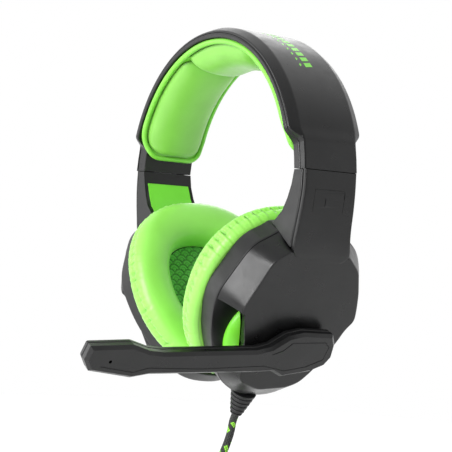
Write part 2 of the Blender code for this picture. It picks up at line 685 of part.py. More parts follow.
def make_strain_relief(cup, mats):
    """A tapered, ribbed rubber sleeve with a neck through the housing wall."""
    levels = [(RELIEF_TOP + 4.0, 3.4), (RELIEF_TOP, 3.4), (RELIEF_TOP, 7.4)]
    ribs = 4
    for k in range(ribs):
        top = RELIEF_TOP - 0.6 - k * (RELIEF_LENGTH - 1.2) / ribs
        step = (RELIEF_LENGTH - 1.2) / ribs
        r = 7.4 - 3.6 * (k + 0.5) / ribs
        levels += [(top - step * 0.55, r), (top - step * 0.62, r - 0.9),
                   (top - step * 0.92, r - 1.0), (top - step, r - 0.5)]
    levels.append((RELIEF_TOP - RELIEF_LENGTH, 3.5))
    rings = [[(RELIEF_X + r * math.cos(a), RELIEF_Y + r * math.sin(a), z)
              for a in (2 * math.pi * k / 16 for k in range(16))] for z, r in levels]
    add_object("cord_strain_relief", loft(rings), cup, mats["rubber"], smooth=True)


def smooth_path(points, spacing):
    """Points about evenly spaced on a Catmull-Rom curve through the route's own points."""
    route = [2 * points[0] - points[1]] + list(points) + [2 * points[-1] - points[-2]]
    path = []
    for i in range(1, len(route) - 2):
        p0, p1, p2, p3 = route[i - 1:i + 3]
        count = max(1, round((p2 - p1).length / spacing))
        for k in range(count):
            t = k / count
            path.append(0.5 * (2 * p1 + (p2 - p0) * t + (2 * p0 - 5 * p1 + 4 * p2 - p3) * t * t
                               + (3 * p1 - 3 * p2 + p3 - p0) * t ** 3))
    path.append(points[-1])
    return path


def tube(name, points, diameter, parent, mat):
    curve = bpy.data.curves.new(name, "CURVE")
    curve.dimensions = "3D"
    curve.bevel_depth = diameter / 2 * MM
    curve.bevel_resolution = 2
    curve.use_fill_caps = True
    spline = curve.splines.new("POLY")
    path = smooth_path(points, 2.5 * diameter)
    spline.points.add(len(path) - 1)
    for target, point in zip(spline.points, path):
        target.co = (*(point * MM), 1.0)
    curve.materials.append(mat)
    made = bpy.data.objects.new(name, curve)
    bpy.context.collection.objects.link(made)
    made.parent = parent
    return made


def make_cord(root, mats):
    lean = math.radians(CUP_LEAN)
    down_cup = Vector((-math.sin(lean), 0, -math.cos(lean)))
    start = relief_tip() + down_cup * GAP
    centre = Vector(COIL_CENTRE)
    outer_r = COIL_MEAN_R + COIL_HALF_SECTION
    end = Vector((9.7, -5.6, centre.z + outer_r + 2 * GAP))
    route = [start, start + down_cup * 6, Vector((10.3, 0.2, -143.0)), Vector((10.1, -1.8, -149.5)),
             Vector((9.9, -4.4, -156.0)), end]
    tube("cord_hanging", route, CORD_D, root, mats["cable"])
    h = COIL_HALF_SECTION
    section = [(-h, COIL_MEAN_R - h + 2), (-h, COIL_MEAN_R + h - 2), (-h + 2, COIL_MEAN_R + h),
               (h - 2, COIL_MEAN_R + h), (h, COIL_MEAN_R + h - 2), (h, COIL_MEAN_R - h + 2),
               (h - 2, COIL_MEAN_R - h), (-h + 2, COIL_MEAN_R - h)]
    rings = []
    for k in range(32):
        a = 2 * math.pi * (k + 0.5) / 32
        rings.append([(centre.x + r * math.cos(a), centre.y + y, centre.z + r * math.sin(a))
                      for y, r in section])
    add_object("cord_coil", loft(rings, closed=True), root, mats["cable"], smooth=True)
    make_cord_tie(centre, root, mats)
    make_plug(centre, root, mats)


def make_cord_tie(centre, root, mats):
    """A flat strap closed round the coil's turns near the top."""
    inner = COIL_HALF_SECTION + 3 * GAP
    outer = inner + TIE_THICKNESS
    half_width = TIE_WIDTH / 2
    rings = []
    for half, along in ((outer, -half_width), (outer, half_width), (inner, half_width),
                        (inner, -half_width)):
        rings.append([(along, y * half, z * half) for y, z in ((-1, -1), (1, -1), (1, 1), (-1, 1))])
    a = math.radians(TIE_ANGLE)
    at = (centre.x + COIL_MEAN_R * math.cos(a), centre.y, centre.z + COIL_MEAN_R * math.sin(a))
    add_object("cord_tie", loft(rings, closed=True), root, mats["rubber"], location=at,
               rotation=(0, 90 - TIE_ANGLE, 0))


def make_plug(centre, root, mats):
    """A four-pole jack plug hanging on the last of the cord beside the coil."""
    x = centre.x - COIL_MEAN_R - CORD_D
    y = centre.y + 1.5 * CORD_D
    tail_top = centre.z - TAIL_START
    tail_end = centre.z - PLUG_DROP
    tube("cord_tail", [Vector((x, y, z)) for z in (tail_top, (tail_top + tail_end) / 2, tail_end)],
         CORD_D, root, mats["cable"])
    top = tail_end - GAP
    profile = ((top, 2.9), (top - 6, 3.6), (top - 8, PLUG_R), (top - PLUG_LENGTH, PLUG_R))
    rings = [[(x + r * math.cos(a), y + r * math.sin(a), z)
              for a in (2 * math.pi * k / 16 for k in range(16))] for z, r in profile]
    add_object("plug_body", loft(rings), root, mats["rubber"], smooth=True)
    pin_top = top - PLUG_LENGTH - GAP
    profile = ((pin_top, PIN_R), (pin_top - 11.6, PIN_R), (pin_top - 12.2, 1.3),
               (pin_top - PIN_LENGTH, 0.7))
    rings = [[(x + r * math.cos(a), y + r * math.sin(a), z)
              for a in (2 * math.pi * k / 12 for k in range(12))] for z, r in profile]
    add_object("plug_pin", loft(rings), root, mats["brass"], smooth=True)


def make_materials():
    return {
        "shell": material("shell_black", (0.035, 0.036, 0.038), 0.42),
        "inner": material("inner_black", (0.02, 0.02, 0.022), 0.5),
        "housing": material("housing_black", (0.03, 0.03, 0.032), 0.45),
        "accent": material("accent_green", (0.14, 0.7, 0.03), 0.35),
        "leatherette": material("leatherette_green", (0.26, 0.79, 0.08), 0.45),
        "piping": material("piping_green", (0.16, 0.62, 0.04), 0.45),
        "mesh": material("speaker_mesh", (0.02, 0.09, 0.02), 0.8),
        "steel": material("steel", (0.6, 0.6, 0.62), 0.3, 1.0),
        "brass": material("gold_plate", (0.8, 0.6, 0.25), 0.25, 1.0),
        "film": material("diaphragm_film", (0.5, 0.5, 0.48), 0.3),
        "washer": material("washer_black", (0.02, 0.02, 0.02), 0.6),
        "rubber": material("rubber_black", (0.015, 0.015, 0.015), 0.65),
        "cable": material("braid_black", (0.02, 0.03, 0.02), 0.7),
    }


def make_terminal_board(cup, mats):
    y, z = 5.0, -76.0
    board = box((SEAT + 5.0, SEAT + 6.6), (y - 9, y + 9), (z - 5.5, z + 5.5))
    add_object("terminal_board", board, cup, mats["accent"])


def main():
    clear_scene()
    mats = make_materials()
    root = empty("headset_frame", location=(0, 0, -SADDLE_Z))
    make_headband(root, mats)
    make_pad(root, mats)
    cups = {side: make_side(side, root, mats) for side in (LEFT, RIGHT)}
    make_terminal_board(cups[LEFT], mats)
    make_boom(cups[LEFT], mats)
    make_strain_relief(cups[LEFT], mats)
    make_cord(root, mats)


main()
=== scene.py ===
import json
import math

import bmesh
import bpy
from mathutils import Matrix, Vector, noise


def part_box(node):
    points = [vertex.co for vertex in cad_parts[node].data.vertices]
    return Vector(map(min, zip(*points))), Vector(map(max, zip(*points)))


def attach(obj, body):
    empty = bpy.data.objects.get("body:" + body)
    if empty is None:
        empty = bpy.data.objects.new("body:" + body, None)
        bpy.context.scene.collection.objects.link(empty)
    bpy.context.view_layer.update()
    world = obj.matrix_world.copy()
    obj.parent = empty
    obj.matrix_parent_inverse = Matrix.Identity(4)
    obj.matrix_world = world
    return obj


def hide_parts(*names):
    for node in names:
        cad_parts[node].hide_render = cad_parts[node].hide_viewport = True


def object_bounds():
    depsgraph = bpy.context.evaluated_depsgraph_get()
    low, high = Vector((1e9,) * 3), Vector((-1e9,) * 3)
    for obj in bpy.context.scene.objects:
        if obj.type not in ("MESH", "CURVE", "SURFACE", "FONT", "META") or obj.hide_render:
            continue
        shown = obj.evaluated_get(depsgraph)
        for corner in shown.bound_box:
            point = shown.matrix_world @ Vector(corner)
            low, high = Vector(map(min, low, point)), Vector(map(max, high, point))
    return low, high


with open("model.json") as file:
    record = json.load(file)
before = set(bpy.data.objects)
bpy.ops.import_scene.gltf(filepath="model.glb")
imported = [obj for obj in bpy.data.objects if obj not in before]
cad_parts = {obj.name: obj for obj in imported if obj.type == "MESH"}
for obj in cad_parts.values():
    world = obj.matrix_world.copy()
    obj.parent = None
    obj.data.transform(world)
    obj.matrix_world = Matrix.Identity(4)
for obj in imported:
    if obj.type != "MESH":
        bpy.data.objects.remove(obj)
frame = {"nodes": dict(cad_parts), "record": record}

# Looks of the gaming headset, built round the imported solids.
# Shapes are worked out in millimetres about the headband's centre, as in part.py, and placed in metres.

CAD_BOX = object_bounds()
MM = 0.001
LEFT, RIGHT = 1, -1
SIDE_NAMES = {LEFT: "left", RIGHT: "right"}
BODIES = frame["record"]["behaviour"]["bodies"]
BODY_OF = {node: body for body, nodes in BODIES.items() for node in nodes}
SLOT_OF = {part["node"]: part["material_slot"] for part in frame["record"]["subparts"]}

# Headband
BAND_OUTER_R = 85.0
BAND_EDGE_R = 82.4
BAND_SEAM_R = 81.6
BAND_INNER_R = 78.6
BLOCK_INNER_R = 76.5
BLOCK_EDGE_R = 85.2
BAND_HALF_WIDTH = 23.9
BAND_CROWN_HALF_WIDTH = 18.1
BLOCK_HALF_WIDTH = 17.0
BLOCK_CROWN_HALF_WIDTH = 16.5
JOINT_Z = 5.0
BLOCK_ANGLES = (8.1, 12.6)
BAND_START_ANGLE = 18.5
GAP = 0.3
SEAM_LIP = 0.25                # the frame's rounded edge stands out from the shell's by twice this
SEAM_CLOSE = 0.12              # shell and frame each close the parting line by this much
BAND_CENTRE = Vector((0, 0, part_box("headband_outer_shell")[1][2] - BAND_OUTER_R * MM))

# Printed dashes on the crown: angles in degrees, rows as (front, rear, length)
DASH_COUNT = 9
DASH_FIRST = 73.0
DASH_PITCH = 3.5
DASH_LEAN = 0.8
DASH_ROWS = ((-0.8, 4.2, 2.3), (-4.4, -3.2, 1.3))

# Headband pad
PAD_BOARD_THICKNESS = 1.7
PAD_END_ANGLE = 10.5
PAD_JOINTS = (66.5, 113.5)
PAD_SIDE_DEPTH = 9.5
PAD_TOP_DEPTH = 12.9
PAD_EDGE = 23.1
PAD_CORNERS = {-1: (14.0, 13.0), 1: (10.0, 8.5)}    # degrees rounded off, and by how much
PIPING_R = 1.6

# Ear cups
CUP_LEAN = math.radians(25.0)
CUP_CENTRE = (5.0, -44.0)
CUSHION_CENTRE_Z = -40.0
CUSHION_HALF_WIDTH = 51.0
CUSHION_UP = 48.8
CUSHION_DOWN = 58.0
CUSHION_RING = 25.0
CUSHION_FACE = 43.5
SEAT = 61.0
HOUSING_BACK = 73.0
SKIRT_START = 73.3
PLATE = 88.0
WALL = 2.4
PLATE_EDGE = ((20.0, -2.8), (22.3, -2.4), (32.0, -11.0), (37.6, -24.0), (40.5, -34.0),
              (42.0, -41.0), (37.7, -46.5), (34.9, -54.5), (25.0, -73.0), (19.0, -80.0),
              (11.5, -83.0), (-7.4, -84.0), (-21.0, -78.3), (-26.4, -55.6), (-31.6, -43.5),
              (-35.0, -35.4), (-26.0, -6.9), (-16.7, 0.2), (-14.5, -2.8))
SKIRT_EDGE = ((22.0, 4.6), (30.0, 1.0), (40.5, -7.0), (47.5, -20.0), (51.0, -34.0),
              (51.0, -46.0), (48.0, -56.0), (43.5, -68.0), (32.0, -86.0), (22.0, -95.0),
              (10.0, -98.0), (-8.5, -96.0), (-23.5, -86.0), (-37.2, -60.0), (-41.8, -42.5),
              (-41.8, -31.5), (-31.0, -5.2), (-19.0, 2.0), (-16.5, 4.6))
WINDOW = ((-60.0, -36.5), (-33.5, -36.5), (-31.0, -42.5), (-26.4, -55.6), (-22.5, -74.0),
          (-60.0, -86.0))
ACCENT_CENTRE = (-7.0, -57.0)
ACCENT_R = 23.0
ACCENT_RISE = 8.4

# Arm: the inner half about the band's centre, the skin's outer face in the cup's frame
ARM_SKIN = 2.2
ARM_INNER = ((76.5, 4.6), (74.9, -3.0), (72.4, -10.0), (69.0, -16.5), (61.6, -22.9))
ARM_PARTING = ((83.7, 4.6), (83.8, -5.0), (82.6, -15.0), (80.6, -25.0), (78.0, -35.2))
ARM_FRONT = (-17.1, -17.1, -17.3, -17.5, -17.6)
ARM_REAR = (17.5, 17.5, 18.1, 18.9, 19.7)
TONGUE = ((76.0, 40.5, -16.6, 17.0), (80.15, 31.9, -16.6, 17.0), (83.3, 22.3, -16.8, 17.6),
          (85.79, 12.4, -17.0, 18.4), (87.45, 5.2, -17.1, 19.6), (88.0, 0.0, -16.4, 21.2),
          (88.02, -3.2, -13.6, 21.4), (88.0, -6.0, -9.0, 18.0), (87.7, -9.0, -5.0, 14.0))
ARM_FACE_TOP = (86.1, -5.0)
ARM_FACE_SLOPE = 0.12          # the face leans inward by this much for each step down
ARM_PANEL = (-10.0, 9.7, -5.0, -25.6)
ARM_MARKS = ((-2.5, -9.4, -13.5), (9.7, -6.0, -9.5))

# Microphone boom: how far out its face lies, and the fine line engraved along it
BOOM_FACE = 98.0
BOOM_LOWER_LINE = ((-113.7, -60.5), (-95.0, -64.1), (-86.9, -61.8), (-56.6, -63.0), (-17.9, -62.1),
                   (-3.4, -65.4), (10.0, -63.2), (20.0, -59.0), (21.0, -51.0), (17.5, -48.3),
                   (-4.0, -48.4), (-9.0, -53.2), (-15.0, -55.3))

# Cord
CORD_D = 4.4
RELIEF_X = 67.5
RELIEF_Y = 1.0
RELIEF_TOP = -98.4
RELIEF_LENGTH = 15.0
COIL_CENTRE = Vector((10.0, 1.0, -198.0))
COIL_MEAN_R = 27.0
COIL_TURNS = 11
COIL_START = math.radians(110)

# Camera, about the headband's centre
CAMERA_AZIMUTH = 55.55
CAMERA_ELEVATION = -2.53
CAMERA_ROLL = 3.60
CAMERA_DISTANCE = 0.635
CAMERA_LENS = 87.9
CAMERA_AIM = (-0.0088, -0.0410)    # tangents of the small turn that centres the headset

# Room light: the way to the bright wall, the level opposite it, and what the ceiling adds
BACKDROP_WAY = (-0.824, 0.566, 0.0)
ROOM_FRONT = 0.26
FLOOR_REACH = 0.95             # radius of the round floor
ROOM_CEILING = 0.42


# --- placing ------------------------------------------------------------------------------

def place(point):
    return Vector(point) * MM + BAND_CENTRE


def cup_point(side, x, y, z):
    """A point given in a cup's own frame, about the band's centre, in millimetres."""
    across = x * math.cos(CUP_LEAN) + z * math.sin(CUP_LEAN)
    up = -x * math.sin(CUP_LEAN) + z * math.cos(CUP_LEAN)
    return Vector((side * across, y, up))


def outward(side):
    """The way a cup's plate faces."""
    return cup_point(side, 1, 0, 0)


def catmull(points, t, closed=False):
    """The point at t, counted in spans, on a smooth curve through the points."""
    count = len(points)
    i = int(math.floor(t))
    f = t - i
    def at(k):
        return points[k % count] if closed else points[min(max(k, 0), count - 1)]
    p0, p1, p2, p3 = (Vector(at(i + k)) for k in (-1, 0, 1, 2))
    return 0.5 * (2 * p1 + (p2 - p0) * f + (2 * p0 - 5 * p1 + 4 * p2 - p3) * f * f
                  + (3 * p1 - 3 * p2 + p3 - p0) * f ** 3)


def resampled(points, spacing):
    """The polyline through the points, with even steps of about the spacing."""
    lengths = [0.0]
    for a, b in zip(points, points[1:]):
        lengths.append(lengths[-1] + (b - a).length)
    count = max(2, round(lengths[-1] / spacing))
    out, k = [], 0
    for i in range(count + 1):
        target = lengths[-1] * i / count
        while k < len(points) - 2 and lengths[k + 1] < target:
            k += 1
        span = lengths[k + 1] - lengths[k]
        out.append(points[k].lerp(points[k + 1], (target - lengths[k]) / span if span else 0))
    return out


def smoothstep(value):
    value = min(1.0, max(0.0, value))
    return value * value * (3 - 2 * value)


# --- meshes -------------------------------------------------------------------------------

def link(name, data, mat):
    made = bpy.data.objects.new(name, data)
    bpy.context.scene.collection.objects.link(made)
    if mat:
        made.data.materials.append(mat)
    return made


def object_from(name, bm, mat, sharp=38):
    bmesh.ops.recalc_face_normals(bm, faces=bm.faces)
    mesh = bpy.data.meshes.new(name)
    bm.to_mesh(mesh)
    bm.free()
    mesh.shade_smooth()
    mesh.set_sharp_from_angle(angle=math.radians(sharp))
    return link(name, mesh, mat)


def skin(bm, rings, closed_rings=True, closed=False, caps=True):
    """Quads between successive rings of points, already in metres."""
    rows = [[bm.verts.new(point) for point in ring] for ring in rings]
    count = len(rows[0])
    spans = count if closed_rings else count - 1
    following = rows[1:] + rows[:1] if closed else rows[1:]
    for lower, upper in zip(rows, following):
        for i in range(spans):
            j = (i + 1) % count
            bm.faces.new((lower[i], lower[j], upper[j], upper[i]))
    if caps and not closed:
        bm.faces.new(rows[0][::-1])
        bm.faces.new(rows[-1])
    return rows


def applied(obj):
    """Turn the object's modifiers into its mesh."""
    graph = bpy.context.evaluated_depsgraph_get()
    mesh = bpy.data.meshes.new_from_object(obj.evaluated_get(graph))
    obj.modifiers.clear()
    obj.data = mesh
    return obj


def bevel(obj, width, segments=3, angle=25):
    modifier = obj.modifiers.new("bevel", "BEVEL")
    modifier.width = width * MM
    modifier.segments = segments
    modifier.limit_method = "ANGLE"
    modifier.angle_limit = math.radians(angle)
    modifier.miter_outer = "MITER_ARC"
    return weighted(applied(obj))


def weighted(obj):
    """Let the larger faces set the shading, so that flat ones look flat."""
    modifier = obj.modifiers.new("normals", "WEIGHTED_NORMAL")
    modifier.keep_sharp = True
    return applied(obj)


def cut(obj, tools):
    for tool in tools:
        modifier = obj.modifiers.new("cut", "BOOLEAN")
        modifier.solver = "EXACT"
        modifier.object = tool
    applied(obj)
    for tool in tools:
        bpy.data.objects.remove(tool)
    return obj


def tube_mesh(bm, points, radius, sides=12, closed=False, spacing_uv=None):
    """A round tube along points in metres; u runs round it, v along it in centimetres."""
    tangents = []
    count = len(points)
    for i in range(count):
        before = points[i - 1] if (i or closed) else points[0]
        after = points[(i + 1) % count] if (i < count - 1 or closed) else points[-1]
        tangents.append((after - before).normalized())
    normal = tangents[0].orthogonal().normalized()
    rings, along = [], [0.0]
    for i in range(count):
        normal = (normal - tangents[i] * normal.dot(tangents[i])).normalized()
        side_way = tangents[i].cross(normal)
        rings.append([points[i] + (normal * math.cos(a) + side_way * math.sin(a)) * radius
                      for a in (2 * math.pi * k / sides for k in range(sides))])
        if i:
            along.append(along[-1] + (points[i] - points[i - 1]).length)
    rows = skin(bm, rings, closed=closed)
    if spacing_uv:
        layer = bm.loops.layers.uv.verify()
        place_of = {vert: (k / sides, along[i])
                    for i, row in enumerate(rows) for k, vert in enumerate(row)}
        for face in bm.faces:
            turns = [place_of[v][0] for v in face.verts]
            wrap = len(face.verts) == 4 and max(turns) > 0.9 and min(turns) == 0
            for loop in face.loops:
                u, v = place_of[loop.vert]
                loop[layer].uv = (1.0 if wrap and u == 0 else u, v / spacing_uv)
    return rows


def tube_object(name, points, radius, mat, sides=12, closed=False, spacing_uv=None):
    bm = bmesh.new()
    tube_mesh(bm, points, radius, sides, closed, spacing_uv)
    return object_from(name, bm, mat, 60)


def turned_object(name, profile, centre, axis, mat, segments=48):
    """A solid turned about an axis in metres; the profile is (height, radius) in millimetres."""
    axis = Vector(axis).normalized()
    u = axis.orthogonal().normalized()
    v = axis.cross(u)
    bm = bmesh.new()
    rings = [[centre + (axis * h + (u * math.cos(a) + v * math.sin(a)) * r) * MM
              for a in (2 * math.pi * k / segments for k in range(segments))] for h, r in profile]
    skin(bm, rings)
    return object_from(name, bm, mat, 35)


def stand_in(piece, *nodes):
    """The piece rides with the nodes' body and is shown in their place."""
    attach(piece, BODY_OF[nodes[0]])
    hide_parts(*nodes)
    return piece


def merged_copy(node, name, mat):
    bm = bmesh.new()
    bm.from_mesh(frame["nodes"][node].data)
    bmesh.ops.remove_doubles(bm, verts=bm.verts, dist=1e-6)
    bmesh.ops.dissolve_limit(bm, angle_limit=math.radians(1.0), verts=bm.verts, edges=bm.edges)
    return object_from(name, bm, mat)


def refined(node, mat, width, segments=3, angle=25, tools=()):
    """The CAD solid with its edges rounded as a moulding's are, and any fine lines cut into it."""
    piece = merged_copy(node, node + "_shape", mat)
    if tools:
        cut(piece, tools)
    bevel(piece, width, segments, angle)
    return stand_in(piece, node)


# --- materials ----------------------------------------------------------------------------

RANGE_INPUTS = ("From Min", "From Max", "To Min", "To Max")


class Shader:
    """A Principled material and short ways to build its nodes."""

    def __init__(self, name, roughness=0.5, metallic=0.0, **values):
        self.mat = bpy.data.materials.new(name)
        self.mat.use_nodes = True
        self.nodes = self.mat.node_tree.nodes
        self.links = self.mat.node_tree.links
        self.out = self.nodes["Principled BSDF"]
        self.out.inputs["Roughness"].default_value = roughness
        self.out.inputs["Metallic"].default_value = metallic
        for label, value in values.items():
            self.out.inputs[label.replace("_", " ")].default_value = value
        self.place = self.nodes.new("ShaderNodeTexCoord").outputs["Object"]

    def feed(self, socket, value):
        if isinstance(value, bpy.types.NodeSocket):
            self.links.new(value, socket)
        else:
            socket.default_value = value

    def noise(self, scale, detail=3.0, rough=0.5, vector=None):
        node = self.nodes.new("ShaderNodeTexNoise")
        self.feed(node.inputs["Vector"], vector or self.place)
        node.inputs["Scale"].default_value = scale
        node.inputs["Detail"].default_value = detail
        node.inputs["Roughness"].default_value = rough
        return node.outputs["Fac"]

    def cells(self, scale, feature="F1", vector=None, output="Distance"):
        node = self.nodes.new("ShaderNodeTexVoronoi")
        node.feature = feature
        self.feed(node.inputs["Vector"], vector or self.place)
        node.inputs["Scale"].default_value = scale
        return node.outputs[output]

    def math(self, operation, a, b=0.0, clamp=False):
        node = self.nodes.new("ShaderNodeMath")
        node.operation = operation
        node.use_clamp = clamp
        self.feed(node.inputs[0], a)
        self.feed(node.inputs[1], b)
        return node.outputs[0]

    def ranged(self, value, low, high, to_low, to_high):
        node = self.nodes.new("ShaderNodeMapRange")
        self.feed(node.inputs["Value"], value)
        for label, number in zip(RANGE_INPUTS, (low, high, to_low, to_high)):
            node.inputs[label].default_value = number
        return node.outputs["Result"]

    def mix(self, share, a, b):
        node = self.nodes.new("ShaderNodeMix")
        node.data_type = "RGBA"
        self.feed(node.inputs["Factor"], share)
        for socket, value in ((node.inputs[6], a), (node.inputs[7], b)):
            self.feed(socket, (*value, 1.0) if isinstance(value, tuple) else value)
        return node.outputs[2]

    def attribute(self, name):
        node = self.nodes.new("ShaderNodeAttribute")
        node.attribute_name = name
        return node.outputs["Fac"]

    def bump(self, height, strength, distance, below=None):
        node = self.nodes.new("ShaderNodeBump")
        node.inputs["Strength"].default_value = strength
        node.inputs["Distance"].default_value = distance
        self.feed(node.inputs["Height"], height)
        if below:
            self.feed(node.inputs["Normal"], below)
        return node.outputs["Normal"]

    def finish(self, colour=None, rough=None, normal=None):
        for label, value in (("Base Color", colour), ("Roughness", rough), ("Normal", normal)):
            if value is not None:
                self.links.new(value, self.out.inputs[label])
        return self.mat


def moulded_plastic(name, dark, light, rough, grain=0.10, coat=0.0):
    """Satin moulded plastic: a fine spark-eroded grain, faint cloudiness and uneven sheen."""
    s = Shader(name, Coat_Weight=coat, Coat_Roughness=0.35, Specular_IOR_Level=0.4)
    colour = s.mix(s.ranged(s.noise(38.0, 4.0), 0.35, 0.65, 0.0, 1.0), dark, light)
    polish = s.ranged(s.noise(160.0, 5.0, 0.6), 0.3, 0.7, rough - 0.05, rough + 0.07)
    fine = s.math("ADD", s.cells(2100.0), s.noise(4300.0, 2.0))
    return s.finish(colour, polish, s.bump(fine, grain, 0.00008))


def leatherette(name, shade, lime, rough):
    """Soft coated fabric: small pebbled grain, faint wrinkles, and painted shade that darkens it in its
    sewn seams and folds.
    """
    s = Shader(name, Sheen_Weight=0.15, Sheen_Roughness=0.4, Coat_Weight=0.35, Coat_Roughness=0.36)
    cloud = s.ranged(s.noise(55.0, 3.0), 0.3, 0.7, 0.0, 0.55)
    base = s.mix(cloud, lime, shade)
    # The stored weight mixes the colour toward a dark green: painted shade in the seams and folds.
    painted_shade_seam = s.attribute("painted_shade_seam")
    colour = s.mix(s.math("MULTIPLY", painted_shade_seam, 0.75, True), base, tuple(0.45 * c for c in shade))
    pebble = s.cells(1150.0, "DISTANCE_TO_EDGE")
    pores = s.ranged(pebble, 0.0, 0.12, 0.0, 1.0)
    wrinkle = s.noise(210.0, 4.0, 0.6)
    normal = s.bump(pores, 0.16, 0.00010, s.bump(wrinkle, 0.10, 0.0006))
    polish = s.ranged(s.noise(320.0, 3.0), 0.3, 0.7, rough - 0.05, rough + 0.06)
    return s.finish(colour, polish, normal)


def scale_mesh():
    """Speaker cloth woven in rounded scales; the height of each scale is stored on the mesh."""
    s = Shader("scale_mesh_cloth", Sheen_Weight=0.2, Sheen_Roughness=0.5)
    height = s.attribute("relief")
    threads = s.math("ADD", s.cells(1500.0), s.noise(900.0, 3.0))
    colour = s.mix(height, (0.002, 0.014, 0.004), (0.14, 0.55, 0.09))
    return s.finish(colour, s.ranged(threads, 0.4, 1.4, 0.55, 0.85), s.bump(threads, 0.5, 0.0003))


def braided_cable():
    """A woven sleeve: two sets of crossing strands, black with flecks of lime, with painted shade in the
    hollows of the weave.
    """
    s = Shader("braided_sleeve")
    uv = s.nodes.new("ShaderNodeUVMap")
    split = s.nodes.new("ShaderNodeSeparateXYZ")
    s.links.new(uv.outputs[0], split.inputs[0])
    around, along = split.outputs[0], split.outputs[1]
    turns = s.math("MULTIPLY", around, 8.0)
    length = s.math("MULTIPLY", along, 5.5)
    one = s.math("ADD", turns, length)
    two = s.math("SUBTRACT", turns, length)
    def ridge(value):
        return s.math("ABSOLUTE", s.math("SINE", s.math("MULTIPLY", value, math.pi)))
    weave = s.math("MULTIPLY", ridge(one), ridge(two))
    lane = s.math("FRACT", s.math("MULTIPLY", s.math("FLOOR", one), 0.25))
    cross_lane = s.math("FRACT", s.math("MULTIPLY", s.math("FLOOR", two), 0.125))
    fleck = s.math("MULTIPLY", s.math("LESS_THAN", lane, 0.3), s.math("LESS_THAN", cross_lane, 0.3))
    # Colour follows the weave's height: darker in the hollows between strands, flecks too, as painted
    # shade.
    painted_weave_shade = s.ranged(weave, 0.1, 0.7, 0.35, 1.0)
    dark = s.mix(painted_weave_shade, (0.004, 0.005, 0.004), (0.03, 0.033, 0.03))
    colour = s.mix(s.math("MULTIPLY", fleck, painted_weave_shade), dark, (0.32, 0.83, 0.05))
    return s.finish(colour, s.ranged(weave, 0.0, 1.0, 0.8, 0.55), s.bump(weave, 0.7, 0.0003))


def brushed_metal(name, dark, light, rough):
    s = Shader(name, metallic=1.0)
    stretch = s.nodes.new("ShaderNodeMapping")
    stretch.inputs["Scale"].default_value = (1.0, 18.0, 1.0)
    s.links.new(s.place, stretch.inputs["Vector"])
    lines = s.noise(260.0, 5.0, 0.7, stretch.outputs[0])
    return s.finish(s.mix(lines, dark, light), s.ranged(lines, 0.3, 0.7, rough - 0.08, rough + 0.1),
                    s.bump(lines, 0.15, 0.00005))


def rubber(name, tone, rough):
    s = Shader(name)
    colour = s.mix(s.noise(90.0, 4.0), tuple(0.6 * t for t in tone), tone)
    return s.finish(colour, s.ranged(s.noise(500.0, 3.0), 0.3, 0.7, rough - 0.08, rough + 0.06),
                    s.bump(s.noise(2600.0, 3.0), 0.2, 0.00008))


def film():
    s = Shader("speaker_film", roughness=0.25)
    return s.finish(s.mix(s.noise(140.0), (0.4, 0.41, 0.38), (0.56, 0.56, 0.52)), None,
                    s.bump(s.noise(700.0, 2.0), 0.2, 0.0001))


def backdrop_paint(name, tone):
    s = Shader(name, roughness=0.9)
    colour = s.mix(s.noise(9.0, 3.0), tuple(0.985 * t for t in tone), tone)
    return s.finish(colour)


MATERIALS = {
    "shell_black": moulded_plastic("satin_black", (0.0055, 0.0056, 0.0058),
                                   (0.0085, 0.0087, 0.009), 0.31),
    "inner_black": moulded_plastic("inner_satin_black", (0.004, 0.004, 0.0045),
                                   (0.006, 0.006, 0.0065), 0.33),
    "housing_black": moulded_plastic("housing_satin_black", (0.006, 0.006, 0.0065),
                                     (0.009, 0.009, 0.0095), 0.37),
    "accent_green": moulded_plastic("lime_plastic", (0.17, 0.66, 0.03),
                                    (0.20, 0.74, 0.045), 0.34, 0.05),
    "leatherette_green": leatherette("lime_leatherette", (0.23, 0.62, 0.07),
                                     (0.29, 0.74, 0.10), 0.42),
    "piping_green": leatherette("lime_edging", (0.14, 0.50, 0.03),
                                (0.22, 0.68, 0.05), 0.36),
    "speaker_mesh": scale_mesh(),
    "steel": brushed_metal("plain_steel", (0.45, 0.45, 0.47), (0.66, 0.66, 0.68), 0.32),
    "gold_plate": brushed_metal("gold_plating", (0.72, 0.50, 0.18), (0.86, 0.66, 0.30), 0.24),
    "diaphragm_film": film(),
    "washer_black": rubber("washer_plastic", (0.03, 0.03, 0.03), 0.5),
    "rubber_black": rubber("black_rubber", (0.014, 0.014, 0.015), 0.55),
    "braid_black": braided_cable(),
}
# The ear cushions' leatherette, made about a quarter darker for the headband pad: painted shade.
PAD_LEATHERETTE_PAINTED_SHADE = leatherette("lime_pad_leatherette_painted_shade", (0.175, 0.48, 0.05), (0.225, 0.57, 0.075), 0.42)


# --- stage, light and camera --------------------------------------------------------------

